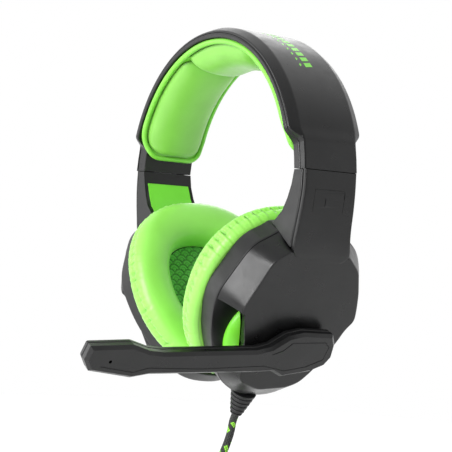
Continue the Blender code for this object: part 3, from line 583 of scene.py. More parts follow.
def make_camera():
    data = bpy.data.cameras.new("camera")
    data.lens = CAMERA_LENS
    data.sensor_width = 36.0
    data.clip_start = 0.01
    data.clip_end = 50.0
    a, e, roll = (math.radians(v) for v in (CAMERA_AZIMUTH, CAMERA_ELEVATION, CAMERA_ROLL))
    forward = Vector((-math.sin(a) * math.cos(e), math.cos(a) * math.cos(e), -math.sin(e)))
    level = Vector((math.cos(a), math.sin(a), 0))
    up = level.cross(forward)
    right = level * math.cos(roll) + up * math.sin(roll)
    tilted_up = up * math.cos(roll) - level * math.sin(roll)
    aim = (forward + right * CAMERA_AIM[0] + tilted_up * CAMERA_AIM[1]).normalized()
    x_axis = (right - aim * right.dot(aim)).normalized()
    y_axis = (-aim).cross(x_axis)
    turn = Matrix((x_axis, y_axis, -aim)).transposed()
    camera = bpy.data.objects.new("camera", data)
    camera.matrix_world = Matrix.Translation(BAND_CENTRE - forward * CAMERA_DISTANCE) @ turn.to_4x4()
    bpy.context.scene.collection.objects.link(camera)
    bpy.context.scene.camera = camera


def area_light(name, spot, target, size, energy):
    data = bpy.data.lights.new(name, "AREA")
    data.shape = "RECTANGLE"
    data.size, data.size_y = size
    data.energy = energy
    light = bpy.data.objects.new(name, data)
    light.location = spot
    light.rotation_euler = (Vector(target) - Vector(spot)).to_track_quat("-Z", "Y").to_euler()
    bpy.context.scene.collection.objects.link(light)


def make_stage():
    low = CAD_BOX[0][2] - 0.004
    bm = bmesh.new()
    rings = [[(r * math.cos(a), r * math.sin(a), low) for a in (k * math.pi / 32 for k in range(64))]
             for r in (0.02, 0.2, 0.5, FLOOR_REACH)]
    rows = skin(bm, rings, caps=False)
    bm.faces.new(rows[0])
    floor = object_from("studio_floor", bm, backdrop_paint("studio_paper", (0.95, 0.95, 0.95)), 60)


def make_world():
    """A room that is white behind the headset in the main view, and dimmer in front of it."""
    world = bpy.data.worlds.new("studio")
    bpy.context.scene.world = world
    world.use_nodes = True
    nodes, links = world.node_tree.nodes, world.node_tree.links
    sky = nodes["Background"]
    direction = nodes.new("ShaderNodeTexCoord").outputs["Generated"]
    levels = []
    for toward, low, high, dim, bright in ((BACKDROP_WAY, -0.35, 0.45, ROOM_FRONT, 1.0),
                                           ((0.0, 0.0, 1.0), 0.25, 0.9, 0.0, ROOM_CEILING)):
        dot = nodes.new("ShaderNodeVectorMath")
        dot.operation = "DOT_PRODUCT"
        links.new(direction, dot.inputs[0])
        dot.inputs[1].default_value = toward
        ramp = nodes.new("ShaderNodeMapRange")
        ramp.interpolation_type = "SMOOTHSTEP"
        links.new(dot.outputs["Value"], ramp.inputs["Value"])
        for label, number in zip(RANGE_INPUTS, (low, high, dim, bright)):
            ramp.inputs[label].default_value = number
        levels.append(ramp.outputs["Result"])
    total = nodes.new("ShaderNodeMath")
    links.new(levels[0], total.inputs[0])
    links.new(levels[1], total.inputs[1])
    links.new(total.outputs[0], sky.inputs["Strength"])
    sky.inputs["Color"].default_value = (1.0, 1.0, 1.0, 1.0)


def make_light():
    make_world()
    centre = Vector((0.03, 0, -0.1))
    area_light("left_softbox", (-0.85, -1.0, 0.1), centre, (0.6, 0.8), 4.0)
    area_light("front_key_softbox", (0.33, -1.18, 0.20), centre, (0.6, 0.7), 17.0)
    area_light("rear_softbox", (-1.0, 0.9, 0.75), centre, (0.7, 0.7), 2.6)
    area_light("side_softbox", (1.2, 0.75, 0.05), centre, (0.9, 1.2), 2.2)


# --- headband -----------------------------------------------------------------------------

def block_share(angle):
    from_end = min(angle, 180 - angle)
    span = BAND_START_ANGLE - BLOCK_ANGLES[1]
    return smoothstep((BAND_START_ANGLE - from_end) / span)


def blend(angle, band_value, block_value):
    share = block_share(angle)
    return band_value * (1 - share) + block_value * share


def on_band(angle, radius, y):
    a = math.radians(angle)
    return (radius * math.cos(a), y, radius * math.sin(a))


def band_angles(step=2.0):
    first, last = BLOCK_ANGLES
    half = [first] + [last + (BAND_START_ANGLE - last) * k / 6 for k in range(7)]
    steps = round((90 - BAND_START_ANGLE) / step)
    half += [BAND_START_ANGLE + (90 - BAND_START_ANGLE) * i / steps for i in range(1, steps)]
    return half + [90.0] + [180 - angle for angle in reversed(half)]


def band_object(name, section, mat):
    rings = [[place(on_band(angle, r, y)) for r, y in section(angle)] for angle in band_angles()]
    foot = [place((r, y, JOINT_Z)) for r, y in section(0)]
    far_foot = [place((-r, y, JOINT_Z)) for r, y in section(180)]
    bm = bmesh.new()
    skin(bm, [foot] + rings + [far_foot])
    return object_from(name, bm, mat)


def shell_section(angle):
    edge = blend(angle, BAND_EDGE_R, BLOCK_EDGE_R)
    crown = blend(angle, BAND_CROWN_HALF_WIDTH, BLOCK_CROWN_HALF_WIDTH)
    half = blend(angle, BAND_HALF_WIDTH, BLOCK_HALF_WIDTH) - SEAM_LIP
    outer = blend(angle, BAND_OUTER_R, BAND_OUTER_R + 0.8)
    low = BAND_SEAM_R - SEAM_CLOSE
    crest = [(edge - 0.4, half), (edge, half - 0.12), (edge + 0.3, half - 0.5)]
    brow = [(outer - 0.3, crown + 0.7), (outer - 0.06, crown + 0.2), (outer, crown - 0.6)]
    rear = [(low, half), *crest, *brow]
    return [(r, -y) for r, y in rear] + rear[::-1]


def frame_section(angle):
    inner = blend(angle, BAND_INNER_R, BLOCK_INNER_R)
    half = blend(angle, BAND_HALF_WIDTH, BLOCK_HALF_WIDTH) + SEAM_LIP
    top = BAND_SEAM_R - GAP + SEAM_CLOSE
    rear = [(inner, half - 0.4), (inner + 0.4, half), *edge_arc(top, half)]
    return [(r, -y) for r, y in rear] + rear[::-1]


def edge_arc(top, half, radius=1.2, steps=5):
    """A rounded corner, from the side face up to the top face."""
    turns = [math.pi / 2 * k / steps for k in range(steps + 1)]
    return [(top - radius * (1 - math.sin(a)), half - radius * (1 - math.cos(a))) for a in turns]


def slider_pockets(clear):
    """Cutters for the two pockets that the slider strips run in."""
    tools = []
    for side in (LEFT, RIGHT):
        strip = merged_copy(SIDE_NAMES[side] + "_slider_strip", "pocket", None)
        centre = sum((v.co for v in strip.data.vertices), Vector()) / len(strip.data.vertices)
        for vert in strip.data.vertices:
            away = vert.co - centre
            vert.co = vert.co + away.normalized() * clear * MM
        tools.append(strip)
    return tools


def make_headband():
    shell = band_object("headband_shell_moulding", shell_section, MATERIALS["shell_black"])
    cut(shell, slider_pockets(0.5))
    stand_in(weighted(shell), "headband_outer_shell")
    inner = band_object("headband_frame_moulding", frame_section, MATERIALS["inner_black"])
    cut(inner, slider_pockets(0.5))
    stand_in(weighted(inner), "headband_inner_frame")
    make_accent_bars()


def make_accent_bars():
    """A row of plain slanted dashes printed along the crown, in place of any lettering."""
    bm = bmesh.new()
    for k in range(DASH_COUNT):
        angle = DASH_FIRST - DASH_PITCH * k
        for y0, y1, length in DASH_ROWS:
            far = angle + length
            corners = [(angle, y0), (far, y0), (far + DASH_LEAN, y1), (angle + DASH_LEAN, y1)]
            rings = [[place(on_band(a, r, y)) for a, y in corners]
                     for r in (BAND_OUTER_R + 0.01, BAND_OUTER_R + 0.06)]
            skin(bm, rings)
    bars = object_from("headband_accent_dashes", bm, MATERIALS["accent_green"])
    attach(bars, "headband")


# --- headband pad -------------------------------------------------------------------------

def pad_board_radius(angle):
    return blend(angle, BAND_INNER_R, BLOCK_INNER_R) - GAP


def pad_half_width(angle, way=-1):
    """Half width of the pad's board in front (way -1) or behind; its ends are rounded off."""
    from_end = max(0.0, min(angle, 180 - angle) - PAD_END_ANGLE)
    corner, drop = PAD_CORNERS[way]
    if from_end >= corner:
        return PAD_EDGE
    short = 1 - from_end / corner
    return PAD_EDGE - drop * (1 - math.sqrt(1 - short ** 2)) - 0.6 * short


def pad_angles(first, last, step, close_ends=False):
    count = max(2, round((last - first) / step))
    out = []
    for i in range(count + 1):
        share = i / count
        if close_ends:
            share = 0.5 - 0.5 * math.cos(math.pi * share)
        out.append(first + (last - first) * share)
    return out


def make_pad_board():
    """The pad's stiff board with a round piping sewn along its whole edge."""
    bm = bmesh.new()
    end = PAD_END_ANGLE
    angles = pad_angles(end, end + 14, 1.0, True)[:-1] + pad_angles(end + 14, 166 - end, 2.0)
    angles += [180 - angle for angle in reversed(pad_angles(end, end + 14, 1.0, True)[:-1])]
    rings = []
    for angle in angles:
        outer = pad_board_radius(angle)
        front, rear = 0.8 - pad_half_width(angle), pad_half_width(angle, 1) - 0.8
        rings.append([place(on_band(angle, r, y)) for r, y in
                      ((outer, front), (outer, rear), (outer - PAD_BOARD_THICKNESS, rear),
                       (outer - PAD_BOARD_THICKNESS, front))])
    skin(bm, rings)
    edge = []
    for way in (1, -1):
        for angle in (angles if way > 0 else list(reversed(angles))):
            edge.append(place(on_band(angle, pad_board_radius(angle) - PIPING_R + 0.1,
                                      way * (pad_half_width(angle, way) - PIPING_R + 0.35))))
    loop = resampled(edge + edge[:1], 0.0015)[:-1]
    tube_mesh(bm, loop, PIPING_R * MM, 12, closed=True)
    board = object_from("headband_pad_edging", bm, MATERIALS["piping_green"], 50)
    stand_in(board, "headband_pad_board")


def puff(obj, pinned, pressure, cap):
    """Blow the cover up by cloth simulation, its sewn rows held; cap is in millimetres."""
    group = obj.vertex_groups.new(name="sewn")
    group.add(pinned, 1.0, "REPLACE")
    before = [v.co.copy() for v in obj.data.vertices]
    modifier = obj.modifiers.new("cloth", "CLOTH")
    settings = modifier.settings
    settings.quality = 6
    settings.mass = 0.25
    settings.tension_stiffness = settings.compression_stiffness = 18.0
    settings.shear_stiffness = 8.0
    settings.bending_stiffness = 0.4
    settings.use_pressure = True
    settings.uniform_pressure_force = pressure
    settings.vertex_group_mass = "sewn"
    settings.effector_weights.gravity = 0.0
    modifier.point_cache.frame_start = 1
    modifier.point_cache.frame_end = 20
    scene = bpy.context.scene
    for step in range(1, 21):
        scene.frame_set(step)
    graph = bpy.context.evaluated_depsgraph_get()
    after = [v.co.copy() for v in obj.evaluated_get(graph).data.vertices]
    obj.modifiers.remove(modifier)
    scene.frame_set(1)
    for vert, start, end in zip(obj.data.vertices, before, after):
        move = end - start
        limit = cap * MM
        if move.length > limit:
            move *= limit / move.length
        vert.co = start + move
    obj.vertex_groups.clear()


def subdivided(obj, levels=1):
    modifier = obj.modifiers.new("subdivision", "SUBSURF")
    modifier.levels = levels
    modifier.render_levels = levels
    return applied(obj)


def store(obj, name, values):
    attribute = obj.data.attributes.new(name, "FLOAT", "POINT")
    attribute.data.foreach_set("value", values)


def pad_cushion(node, first, last, depth):
    """One puffed cushion: full in the middle, rolled over at its sides and sewn down all round."""
    along, across = 34, 22
    bm = bmesh.new()
    rows = []
    for i in range(along + 1):
        share = 0.5 - 0.5 * math.cos(math.pi * i / along)
        angle = first + (last - first) * share
        xi = 2 * share - 1
        swell = max(0.0, 1 - abs(xi) ** 5.0) ** 0.42
        row = []
        for k in range(across + 1):
            eta = -math.cos(math.pi * k / across)
            half = pad_half_width(angle, 1 if eta > 0 else -1) - 3.4
            half -= 4.5 * max(0.0, (abs(xi) - 0.84) / 0.16) ** 2
            crown = max(0.0, 1 - abs(eta) ** 2.5) ** 0.55
            height = 0.5 + (depth - 0.5) * swell * crown
            base = pad_board_radius(angle) - PAD_BOARD_THICKNESS
            row.append(bm.verts.new(place(on_band(angle, base - height, eta * half))))
        rows.append(row)
    for lower, upper in zip(rows, rows[1:]):
        for k in range(across):
            bm.faces.new((lower[k], lower[k + 1], upper[k + 1], upper[k]))
    border = rows[0] + [row[-1] for row in rows[1:]] + rows[-1][-2::-1]
    border += [row[0] for row in rows[-2:0:-1]]
    below = []
    for vert in border:
        local = (vert.co - BAND_CENTRE) / MM
        angle = math.degrees(math.atan2(local.z, local.x))
        base = pad_board_radius(angle) - PAD_BOARD_THICKNESS - 0.15
        below.append(bm.verts.new(place(on_band(angle, base, local.y))))
    count = len(border)
    for k in range(count):
        j = (k + 1) % count
        bm.faces.new((border[j], border[k], below[k], below[j]))
    bm.faces.new(below)
    bm.verts.index_update()
    pinned = [v.index for v in border + below]
    piece = object_from(node + "_cushion", bm, PAD_LEATHERETTE_PAINTED_SHADE, 60)
    puff(piece, pinned, 5.0, 1.3)
    subdivided(piece)
    paint_seam_shade(piece)
    stand_in(piece, node)


def paint_seam_shade(piece):
    """Painted shade along the sewn edges: the leatherette's colour darkens where the cushion comes down
    to the board.
    """
    values = []
    for vert in piece.data.vertices:
        local = (vert.co - BAND_CENTRE) / MM
        angle = math.degrees(math.atan2(local.z, local.x))
        height = pad_board_radius(angle) - PAD_BOARD_THICKNESS - math.hypot(local.x, local.z)
        values.append(1.0 - smoothstep(height / 2.6))
    store(piece, "painted_shade_seam", values)


def make_pad():
    make_pad_board()
    start = PAD_END_ANGLE + 1.6
    one, two = PAD_JOINTS
    pad_cushion("headband_pad_left", start, one - 0.15, PAD_SIDE_DEPTH)
    pad_cushion("headband_pad_top", one + 0.15, two - 0.15, PAD_TOP_DEPTH)
    pad_cushion("headband_pad_right", two + 0.15, 180 - start, PAD_SIDE_DEPTH)


# --- ear cushions -------------------------------------------------------------------------

CUSHION_SECTION = ((4.5, 0.0), (1.9, 0.07), (0.5, 0.2), (0.2, 0.33), (0.75, 0.43), (0.8, 0.5),
                   (0.4, 0.59), (0.9, 0.7), (2.6, 0.84), (5.6, 0.95), (9.6, 1.0), (14.0, 1.0),
                   (18.4, 0.94), (21.8, 0.78), (24.0, 0.52), (25.0, 0.24), (25.0, 0.0),
                   (20.0, -0.004), (13.0, -0.004), (8.0, -0.004))
SEAM_KEY = 4.5                 # where the sewn seam lies along the section's keys
BACK_KEYS = (16, 20)
GATHER_PITCH = 5.6             # spacing of the small gathers round the seam


def cushion_edge(angle, offset):
    """A point (y, z) of the cushion's egg-shaped edge, moved inward by the offset."""
    c, s = math.cos(angle), math.sin(angle)
    power = 2 / 2.25 if s > 0 else 2 / 2.05
    height = CUSHION_UP if s > 0 else CUSHION_DOWN
    y = CUP_CENTRE[0] + (CUSHION_HALF_WIDTH - offset) * math.copysign(abs(c) ** power, c)
    z = CUSHION_CENTRE_Z + (height - offset) * math.copysign(abs(s) ** power, s)
    return y, z


def make_ear_cushion(side):
    """A ring of foam in leatherette, gathered into a seam round its outer side."""
    node = SIDE_NAMES[side] + "_ear_cushion"
    around, per_key = 260, 2
    keys = len(CUSHION_SECTION)
    section = [catmull([(*key, 0) for key in CUSHION_SECTION], i / per_key, True)
               for i in range(keys * per_key)]
    back = SEAT - GAP
    depth = back - CUSHION_FACE
    bm = bmesh.new()
    rings = []
    for k in range(around):
        angle = 2 * math.pi * k / around
        ring = []
        for offset, share, _ in section:
            y, z = cushion_edge(angle, offset)
            ring.append(place(cup_point(side, back - depth * max(share, 0.0), y, z)))
        rings.append(ring)
    skin(bm, rings, closed=True)
    count = len(section)
    seam_rows = {round(SEAM_KEY * per_key)}
    held = seam_rows | set(range(BACK_KEYS[0] * per_key, count)) | {0}
    pinned = [k * count + row for k in range(around) for row in held]
    piece = object_from(node + "_cover", bm, MATERIALS["leatherette_green"], 80)
    store(piece, "row", [float(row) for k in range(around) for row in range(count)])
    for label, way in (("turn_x", math.cos), ("turn_y", math.sin)):
        store(piece, label, [way(2 * math.pi * k / around) for k in range(around) for _ in range(count)])
    puff(piece, pinned, 5.0, 1.6)
    subdivided(piece)
    gather_seam(piece, side, per_key, count)
    stand_in(piece, node)


def gather_seam(piece, side, per_key, count):
    """Sink the seam and raise the small gathers that run across it, and store painted shade for the
    seam's groove, the gathers' folds and the cushion's back.
    """
    mesh = piece.data
    rows = [a.value for a in mesh.attributes["row"].data]
    xs = [a.value for a in mesh.attributes["turn_x"].data]
    ys = [a.value for a in mesh.attributes["turn_y"].data]
    normals = [v.normal.copy() for v in mesh.vertices]
    painted_shade_seam, values = SEAM_KEY * per_key, []
    perimeter = math.pi * (CUSHION_HALF_WIDTH * 2 + CUSHION_UP + CUSHION_DOWN) / 2
    for vert, row, x, y, normal in zip(mesh.vertices, rows, xs, ys, normals):
        if count - 1.5 < row or row < 0.5:
            # Painted shade where the cushion's back meets the housing.
            values.append(0.6)
            continue
        away = (row - painted_shade_seam) / per_key
        s = perimeter * (math.atan2(y, x) / (2 * math.pi) + 0.5)
        wander = s + 1.6 * noise.noise(Vector((s * 0.11, 3.0 * side, 0.0)))
        phase = wander / GATHER_PITCH % 1.0
        number = math.floor(wander / GATHER_PITCH)
        size = 0.35 + 0.65 * abs(noise.noise(Vector((number * 3.7, 5.0 * side, 0.5)))) * 2.2
        lean = 0.10 * noise.noise(Vector((number * 1.9, 9.0 * side, 0.0))) * away
        fold = math.exp(-((phase - 0.38 - lean) / 0.12) ** 2)
        lip = math.exp(-((phase - 0.62 - lean) / 0.11) ** 2)
        reach = math.exp(-(away / 2.0) ** 2)
        groove = math.exp(-(away / 0.5) ** 2)
        hem = math.exp(-((row / per_key - 0.8) / 0.9) ** 2)
        move = size * (0.95 * lip - 1.35 * fold) * reach - 0.15 * groove
        move += 0.12 * (lip - fold) * size * hem
        vert.co += normal * move * MM
        # Painted shade: a little in the seam's groove, most in the gathers' folds.
        values.append(min(1.0, 0.2 * groove + 0.9 * size * fold * reach))
    for label in ("row", "turn_x", "turn_y"):
        mesh.attributes.remove(mesh.attributes[label])
    store(piece, "painted_shade_seam", values)


def make_ear_mesh(side):
    """Speaker cloth in the ear opening, its face raised in overlapping round scales."""
    node = SIDE_NAMES[side] + "_ear_mesh"
    pitch, step, count = 6.4, 0.5, 300
    bm = bmesh.new()
    rings, heights = [], []
    radial = int((CUSHION_DOWN - CUSHION_RING) / step)
    def relief(y, z):
        row_height = 0.5 * pitch
        base_row = math.floor(z / row_height)
        for row in (base_row - 2, base_row - 1, base_row, base_row + 1):
            shift = 0.5 * pitch if row % 2 else 0.0
            column = round((y - shift) / pitch)
            away = math.hypot(y - column * pitch - shift, z - row * row_height) / (0.56 * pitch)
            if away < 1.0:
                line = smoothstep((1.0 - away) / 0.16)
                return line * (0.45 + 0.55 * abs(math.sin(away * math.pi * 2.5)))
        return 0.0
    for i in range(1, radial + 1):
        ring = []
        for k in range(count):
            y, z = cushion_edge(2 * math.pi * k / count, CUSHION_RING + 0.8)
            y = CUP_CENTRE[0] + (y - CUP_CENTRE[0]) * i / radial
            z = CUSHION_CENTRE_Z + (z - CUSHION_CENTRE_Z) * i / radial
            h = relief(y, z)
            heights.append(h)
            ring.append(place(cup_point(side, SEAT - 1.7 + 0.35 - 0.7 * h, y, z)))
        rings.append(ring)
    rows = skin(bm, rings)
    back = [bm.verts.new(place(cup_point(side, SEAT - 0.7, *cushion_edge(2 * math.pi * k / count,
                                                                        CUSHION_RING + 0.8))))
            for k in range(count)]
    outer = rows[-1]
    last_cap = [face for face in outer[0].link_faces if len(face.verts) > 4]
    bmesh.ops.delete(bm, geom=last_cap, context="FACES_ONLY")
    for k in range(count):
        j = (k + 1) % count
        bm.faces.new((outer[k], outer[j], back[j], back[k]))
    bm.faces.new(back)
    heights += [0.0] * count
    piece = object_from(node + "_cloth", bm, MATERIALS["speaker_mesh"], 60)
    store(piece, "relief", heights)
    stand_in(piece, node)


# --- hard parts of the cups and the boom --------------------------------------------------

def line_cutter(side, points, depth_x, radius):
    """A thin tube along (y, z) points at a depth across the cup, to engrave a fine line."""
    path = [place(cup_point(side, depth_x, y, z)) for y, z in points]
    return tube_object("line", path, radius * MM, None, 8)


def rounded(outline, radius, arc=5, spans=4):
    """The outline with rounded corners; outlines in step give points in step."""
    points = []
    count = len(outline)
    def toward(start, end):
        way = end - start
        return start + way.normalized() * min(radius, 0.44 * way.length)
    for i in range(count):
        before, here, after = (Vector(outline[(i + k) % count]) for k in (-1, 0, 1))
        first, last = toward(here, before), toward(here, after)
        for k in range(arc + 1):
            t = k / arc
            points.append(first.lerp(here, t).lerp(here.lerp(last, t), t))
        following = toward(after, here)
        points += [last.lerp(following, k / spans) for k in range(1, spans)]
    return points


def inset(outline, distance):
    """The outline moved inward by a distance, corner by corner."""
    count = len(outline)
    area = sum(a[0] * b[1] - b[0] * a[1] for a, b in zip(outline, [*outline[1:], outline[0]]))
    turn = 1 if area > 0 else -1
    moved = []
    for i in range(count):
        here = Vector(outline[i])
        before = (here - Vector(outline[i - 1])).normalized()
        after = (Vector(outline[(i + 1) % count]) - here).normalized()
        normal_before = Vector((-before.y, before.x)) * turn
        normal_after = Vector((-after.y, after.x)) * turn
        bisector = (normal_before + normal_after).normalized()
        moved.append(here + bisector * (distance / max(0.35, bisector.dot(normal_before))))
    return moved


def stacked(name, side, levels, mat, sharp=38):
    """A solid through outlines standing across the cup; each level is (outline, reach)."""
    bm = bmesh.new()
    skin(bm, [[place(cup_point(side, x, y, z)) for y, z in outline] for outline, x in levels])
    return object_from(name, bm, mat, sharp)


def joined(name, pieces, mat):
    """One object from several overlapping ones, each flat face keeping its own shading."""
    bm = bmesh.new()
    for piece in pieces:
        bm.from_mesh(piece.data)
        bpy.data.objects.remove(piece)
    mesh = bpy.data.meshes.new(name)
    bm.to_mesh(mesh)
    bm.free()
    return weighted(link(name, mesh, mat))


def smooth_rows(points, per_span=4):
    """More points along a smooth curve through (reach, height, front, rear) rows."""
    def at(index, offset):
        return points[index][offset:offset + 2]
    rows = []
    for i in range((len(points) - 1) * per_span + 1):
        t = i / per_span
        spot = catmull([(*at(k, 0), 0) for k in range(len(points))], t)
        width = catmull([(*at(k, 2), 0) for k in range(len(points))], t)
        rows.append((spot.x, spot.y, width.x, width.y))
    return rows


def make_tongue(side):
    """The arm's outer skin, running down onto the plate without a break."""
    r = 0.9
    bm = bmesh.new()
    rings = []
    for x, z, front, rear in smooth_rows(TONGUE):
        ring = [(x - ARM_SKIN, front), (x - r, front), (x - 0.3 * r, front + 0.3 * r), (x, front + r),
                (x, front + 3 * r), (x, rear - 3 * r), (x, rear - r), (x - 0.3 * r, rear - 0.3 * r),
                (x - r, rear), (x - ARM_SKIN, rear)]
        rings.append([place(cup_point(side, reach, y, z)) for reach, y in ring])
    skin(bm, rings)
    tongue = object_from("tongue", bm, None)
    return cut(tongue, arm_lines(side))


def arm_lines(side):
    """Cutters for the fine rectangle and two short marks on the arm's outer face."""
    def on_face(y, z):
        reach = ARM_FACE_TOP[0] + (z - ARM_FACE_TOP[1]) * ARM_FACE_SLOPE
        return place((side * reach, y, z))
    front, rear, top, foot = ARM_PANEL
    loop = []
    for (y0, z0), (y1, z1) in zip(((front, top), (rear, top), (rear, foot), (front, foot)),
                                  ((rear, top), (rear, foot), (front, foot), (front, top))):
        loop += [on_face(y0 + (y1 - y0) * k / 6, z0 + (z1 - z0) * k / 6) for k in range(6)]
    lines = [tube_object("panel_line", loop, 0.00016, None, 8, closed=True)]
    for y, z0, z1 in ARM_MARKS:
        mark = [on_face(y, z0 + (z1 - z0) * k / 4) for k in range(5)]
        lines.append(tube_object("mark", mark, 0.0003, None, 8))
    return lines


def make_outer_cover(side):
    """The cup's plate and skirt with the accent window, and the arm's skin flowing into them."""
    node = SIDE_NAMES[side] + "_outer_cover"
    skirt = rounded(SKIRT_EDGE, 7.0)
    plate = rounded(PLATE_EDGE, 3.2)
    levels = []
    for t in (0.0, 0.03, 0.2, 0.4, 0.6, 0.8, 0.93, 0.965):
        levels.append(([a.lerp(b, t) for a, b in zip(skirt, plate)],
                       SKIRT_START + (PLATE - SKIRT_START) * t))
    for distance, drop in ((0.12, 0.12), (0.5, 0.0), (1.3, 0.0)):
        levels.append((inset(plate, distance), PLATE - drop))
    cover = stacked("cover", side, levels, None)
    low = inset(SKIRT_EDGE, WALL)
    hollow = stacked("hollow", side, [(low, SKIRT_START - 3.0), (low, SKIRT_START),
                                      (inset(PLATE_EDGE, WALL + 0.6), PLATE - WALL)], None)
    opening = rounded(WINDOW, 4.5)
    window = stacked("window", side, [(opening, SKIRT_START - 3.0), (opening, PLATE + 3.0)], None)
    cut(cover, [hollow])
    cut(cover, [window])
    piece = joined(node + "_moulding", [cover, make_tongue(side)], MATERIALS["shell_black"])
    stand_in(piece, node)


def make_arm_inner(side):
    """The arm's inner half, closed by the skin and let down to a point beside the plate."""
    node = SIDE_NAMES[side] + "_arm_inner_cover"
    bm = bmesh.new()
    rings = []
    for (xi, zi), (xo, zo), y0, y1 in zip(ARM_INNER, ARM_PARTING, ARM_FRONT, ARM_REAR):
        across = Vector((xo - xi, 0, zo - zi))
        middle, half, depth = (y0 + y1) / 2, (y1 - y0) / 2, across.length
        rear = [(0.0, half - 0.5), (0.15, half - 0.15), (0.5, half), *edge_arc(depth, half)]
        for_ring = [(d, -y) for d, y in rear] + rear[::-1]
        ring = [Vector((xi, middle + y, zi)) + across * (d / depth) for d, y in for_ring]
        rings.append([place((side * p.x, p.y, p.z)) for p in ring])
    skin(bm, rings)
    body = object_from(node + "_moulding", bm, MATERIALS["inner_black"])
    seat = merged_copy(SIDE_NAMES[side] + "_insert_panel", "seat", None)
    middle = sum((v.co for v in seat.data.vertices), Vector()) / len(seat.data.vertices)
    for vert in seat.data.vertices:
        away = vert.co - middle
        vert.co += Vector((-side * 0.6 * MM if side * away.x < 0 else 0.0,
                           math.copysign(0.25 * MM, away.y), math.copysign(0.25 * MM, away.z)))
    cut(body, [seat])
    stand_in(weighted(body), node)


def make_housing(side):
    """The cup's body behind the cushion, a rounded dish."""
    node = SIDE_NAMES[side] + "_cup_housing"
    outline = rounded(inset(SKIRT_EDGE, -0.5), 8.0)
    levels = [(inset(outline, 1.4), SEAT), (inset(outline, 0.7), SEAT),
              (inset(outline, 0.2), SEAT + 0.2), (outline, SEAT + 0.7),
              (outline, SEAT + 1.6), (outline, HOUSING_BACK - 1.6),
              (outline, HOUSING_BACK - 0.7), (inset(outline, 0.2), HOUSING_BACK - 0.2),
              (inset(outline, 0.7), HOUSING_BACK), (inset(outline, 1.4), HOUSING_BACK)]
    housing = stacked(node + "_moulding", side, levels, MATERIALS["housing_black"])
    inside = inset(SKIRT_EDGE, WALL - 0.5)
    cut(housing, [stacked("dish", side, [(inside, SEAT - 3), (inside, HOUSING_BACK - WALL)], None)])
    stand_in(weighted(housing), node)


def make_sides():
    for side in (LEFT, RIGHT):
        name = SIDE_NAMES[side]
        make_outer_cover(side)
        make_arm_inner(side)
        make_housing(side)
        refined(name + "_insert_panel", MATERIALS["accent_green"], 0.3, 2, 40)
        dome = [(ACCENT_RISE * math.sin(a), ACCENT_R * math.cos(a))
                for a in (k * math.pi / 24 for k in range(12))]
        disc = turned_object(name + "_accent_dome", [(0, ACCENT_R - 0.5), *dome, (ACCENT_RISE, 0.4)],
                             place(cup_point(side, SKIRT_START, *ACCENT_CENTRE)), outward(side),
                             MATERIALS["accent_green"])
        stand_in(disc, name + "_accent_disc")
        make_ear_cushion(side)
        make_ear_mesh(side)


def make_boom():
    line = line_cutter(LEFT, BOOM_LOWER_LINE, BOOM_FACE, 0.35)
    refined("boom_outer_cover", MATERIALS["shell_black"], 0.9, 3, 20, [line])
    refined("boom_inner_cover", MATERIALS["shell_black"], 0.6, 2, 20)


# --- cord ---------------------------------------------------------------------------------

def relief_tip():
    return cup_point(LEFT, RELIEF_X, RELIEF_Y, RELIEF_TOP - RELIEF_LENGTH)


def coil_points():
    """The coil's turns, wound in and out through four columns of three, a diameter apart."""
    slots = []
    for column in range(4):
        rows = (1, 0, -1) if column % 2 == 0 else (-1, 0, 1)
        slots += [((column - 1.5) * CORD_D, row * CORD_D) for row in rows]
    per_turn = 24
    total = COIL_TURNS + (math.pi - COIL_START) / (2 * math.pi)
    points = []
    for i in range(round(total * per_turn) + 1):
        turn = min(total, i / per_turn)
        whole = min(int(turn), len(slots) - 1)
        share = smoothstep((turn - whole - 0.8) / 0.2)
        here = slots[whole]
        after = slots[min(whole + 1, len(slots) - 1)]
        sideways = here[0] + (after[0] - here[0]) * share
        radius = COIL_MEAN_R + here[1] + (after[1] - here[1]) * share
        angle = COIL_START + 2 * math.pi * turn
        spot = Vector((radius * math.cos(angle), sideways, radius * math.sin(angle)))
        points.append(COIL_CENTRE + spot)
    return points


def make_cord():
    """One braided cord: out of the strain relief, down, round its coil and into the plug."""
    down_cup = Vector((-math.sin(CUP_LEAN), 0, -math.cos(CUP_LEAN)))
    start = relief_tip() + down_cup * GAP
    coil = coil_points()
    lead_in = [start, start + down_cup * 3, start + down_cup * 6, Vector((10.3, 0.2, -143.0)),
               Vector((10.1, -1.8, -149.5)), Vector((9.7, -4.4, -156.0)), Vector((6.0, -5.6, -163.2))]
    tail_low = COIL_CENTRE.z - 37.0
    last = coil[-1]
    lead_out = [Vector((last.x, last.y, last.z - k * (last.z - tail_low) / 4)) for k in range(1, 5)]
    keys = lead_in + coil + lead_out
    curve = [catmull(keys, i / 4) for i in range((len(keys) - 1) * 4 + 1)]
    path = [place(p) for p in resampled(curve, 1.5)]
    piece = tube_object("cord_braid", path, CORD_D / 2 * MM, MATERIALS["braid_black"], 12, False, 0.01)
    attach(piece, "left_arm")
    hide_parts("cord_hanging", "cord_coil", "cord_tail")
    plug = make_plug(last.x, last.y, tail_low)
    make_relief()


# One rib of the strain relief: how far down its pitch, and how far in from its crest
RIB = ((0.12, 0.0), (0.5, 0.15), (0.62, 0.5), (0.68, 1.25), (0.9, 1.35), (0.97, 0.9))


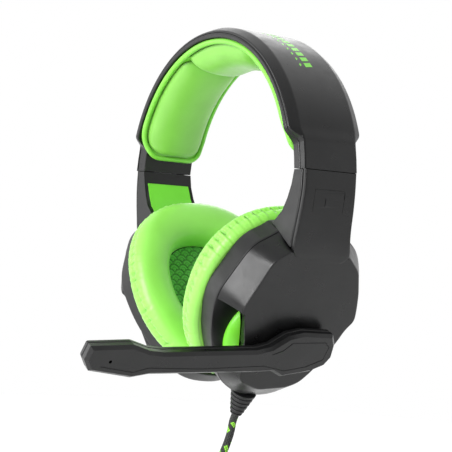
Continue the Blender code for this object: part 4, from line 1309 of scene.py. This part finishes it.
def make_relief():
    """A tapered rubber sleeve with rounded ribs."""
    levels = [(4.0, 3.4), (0.0, 3.4), (0.0, 6.9), (-0.3, 7.4)]
    ribs = 5
    pitch = (RELIEF_LENGTH - 1.0) / ribs
    for k in range(ribs):
        r = 7.5 - 3.7 * (k + 0.3) / ribs
        top = -0.3 - k * pitch
        levels += [(top - down * pitch, r - drop) for down, drop in RIB]
    levels += [(-RELIEF_LENGTH + 0.2, 3.5), (-RELIEF_LENGTH, 3.0)]
    axis = cup_point(LEFT, 0, 0, 1)
    centre = place(cup_point(LEFT, RELIEF_X, RELIEF_Y, RELIEF_TOP))
    piece = turned_object("strain_relief_sleeve", levels, centre, axis, MATERIALS["rubber_black"])
    stand_in(piece, "cord_strain_relief")


def make_plug(x, y, top):
    top -= GAP
    foot = place((x, y, top))
    neck = [(0, 2.6), (-0.4, 2.9), (-5.6, 3.4), (-6.4, 3.7), (-7.4, 4.3), (-8.2, 4.6)]
    grooves = [(-9.5 - 1.6 * k - d, 4.6 - 0.35 * (d in (0.4, 0.9)))
               for k in range(6) for d in (0.0, 0.4, 0.9, 1.3)]
    body = turned_object("plug_grip", neck + grooves + [(-23.2, 4.6), (-24.0, 4.0)], foot, (0, 0, 1),
                         MATERIALS["rubber_black"], 32)
    stand_in(body, "plug_body")
    pin_top = top - 24.0 - GAP
    rings = [(top_of - drop, r) for top_of in (-3.4, -6.8, -9.6)
             for drop, r in ((0.0, 1.75), (0.05, 1.6), (0.7, 1.6), (0.75, 1.75))]
    pin = turned_object("plug_contacts", [(0, 1.75), *rings, (-11.6, 1.75), (-12.2, 1.3), (-13.0, 1.6),
                                          (-14.0, 0.7)],
                        place((x, y, pin_top)), (0, 0, 1), MATERIALS["gold_plate"], 24)
    stand_in(pin, "plug_pin")
    return [body, pin]


# --- the rest -----------------------------------------------------------------------------

def dress_cad_nodes():
    """Give each CAD solid that stays visible its finish."""
    for node, obj in frame["nodes"].items():
        obj.data.materials.clear()
        obj.data.materials.append(MATERIALS[SLOT_OF[node]])


bpy.context.scene.view_settings.view_transform = "Standard"
make_camera()
make_light()
make_stage()
dress_cad_nodes()
make_cord()
make_headband()
make_pad()
make_sides()
make_boom()
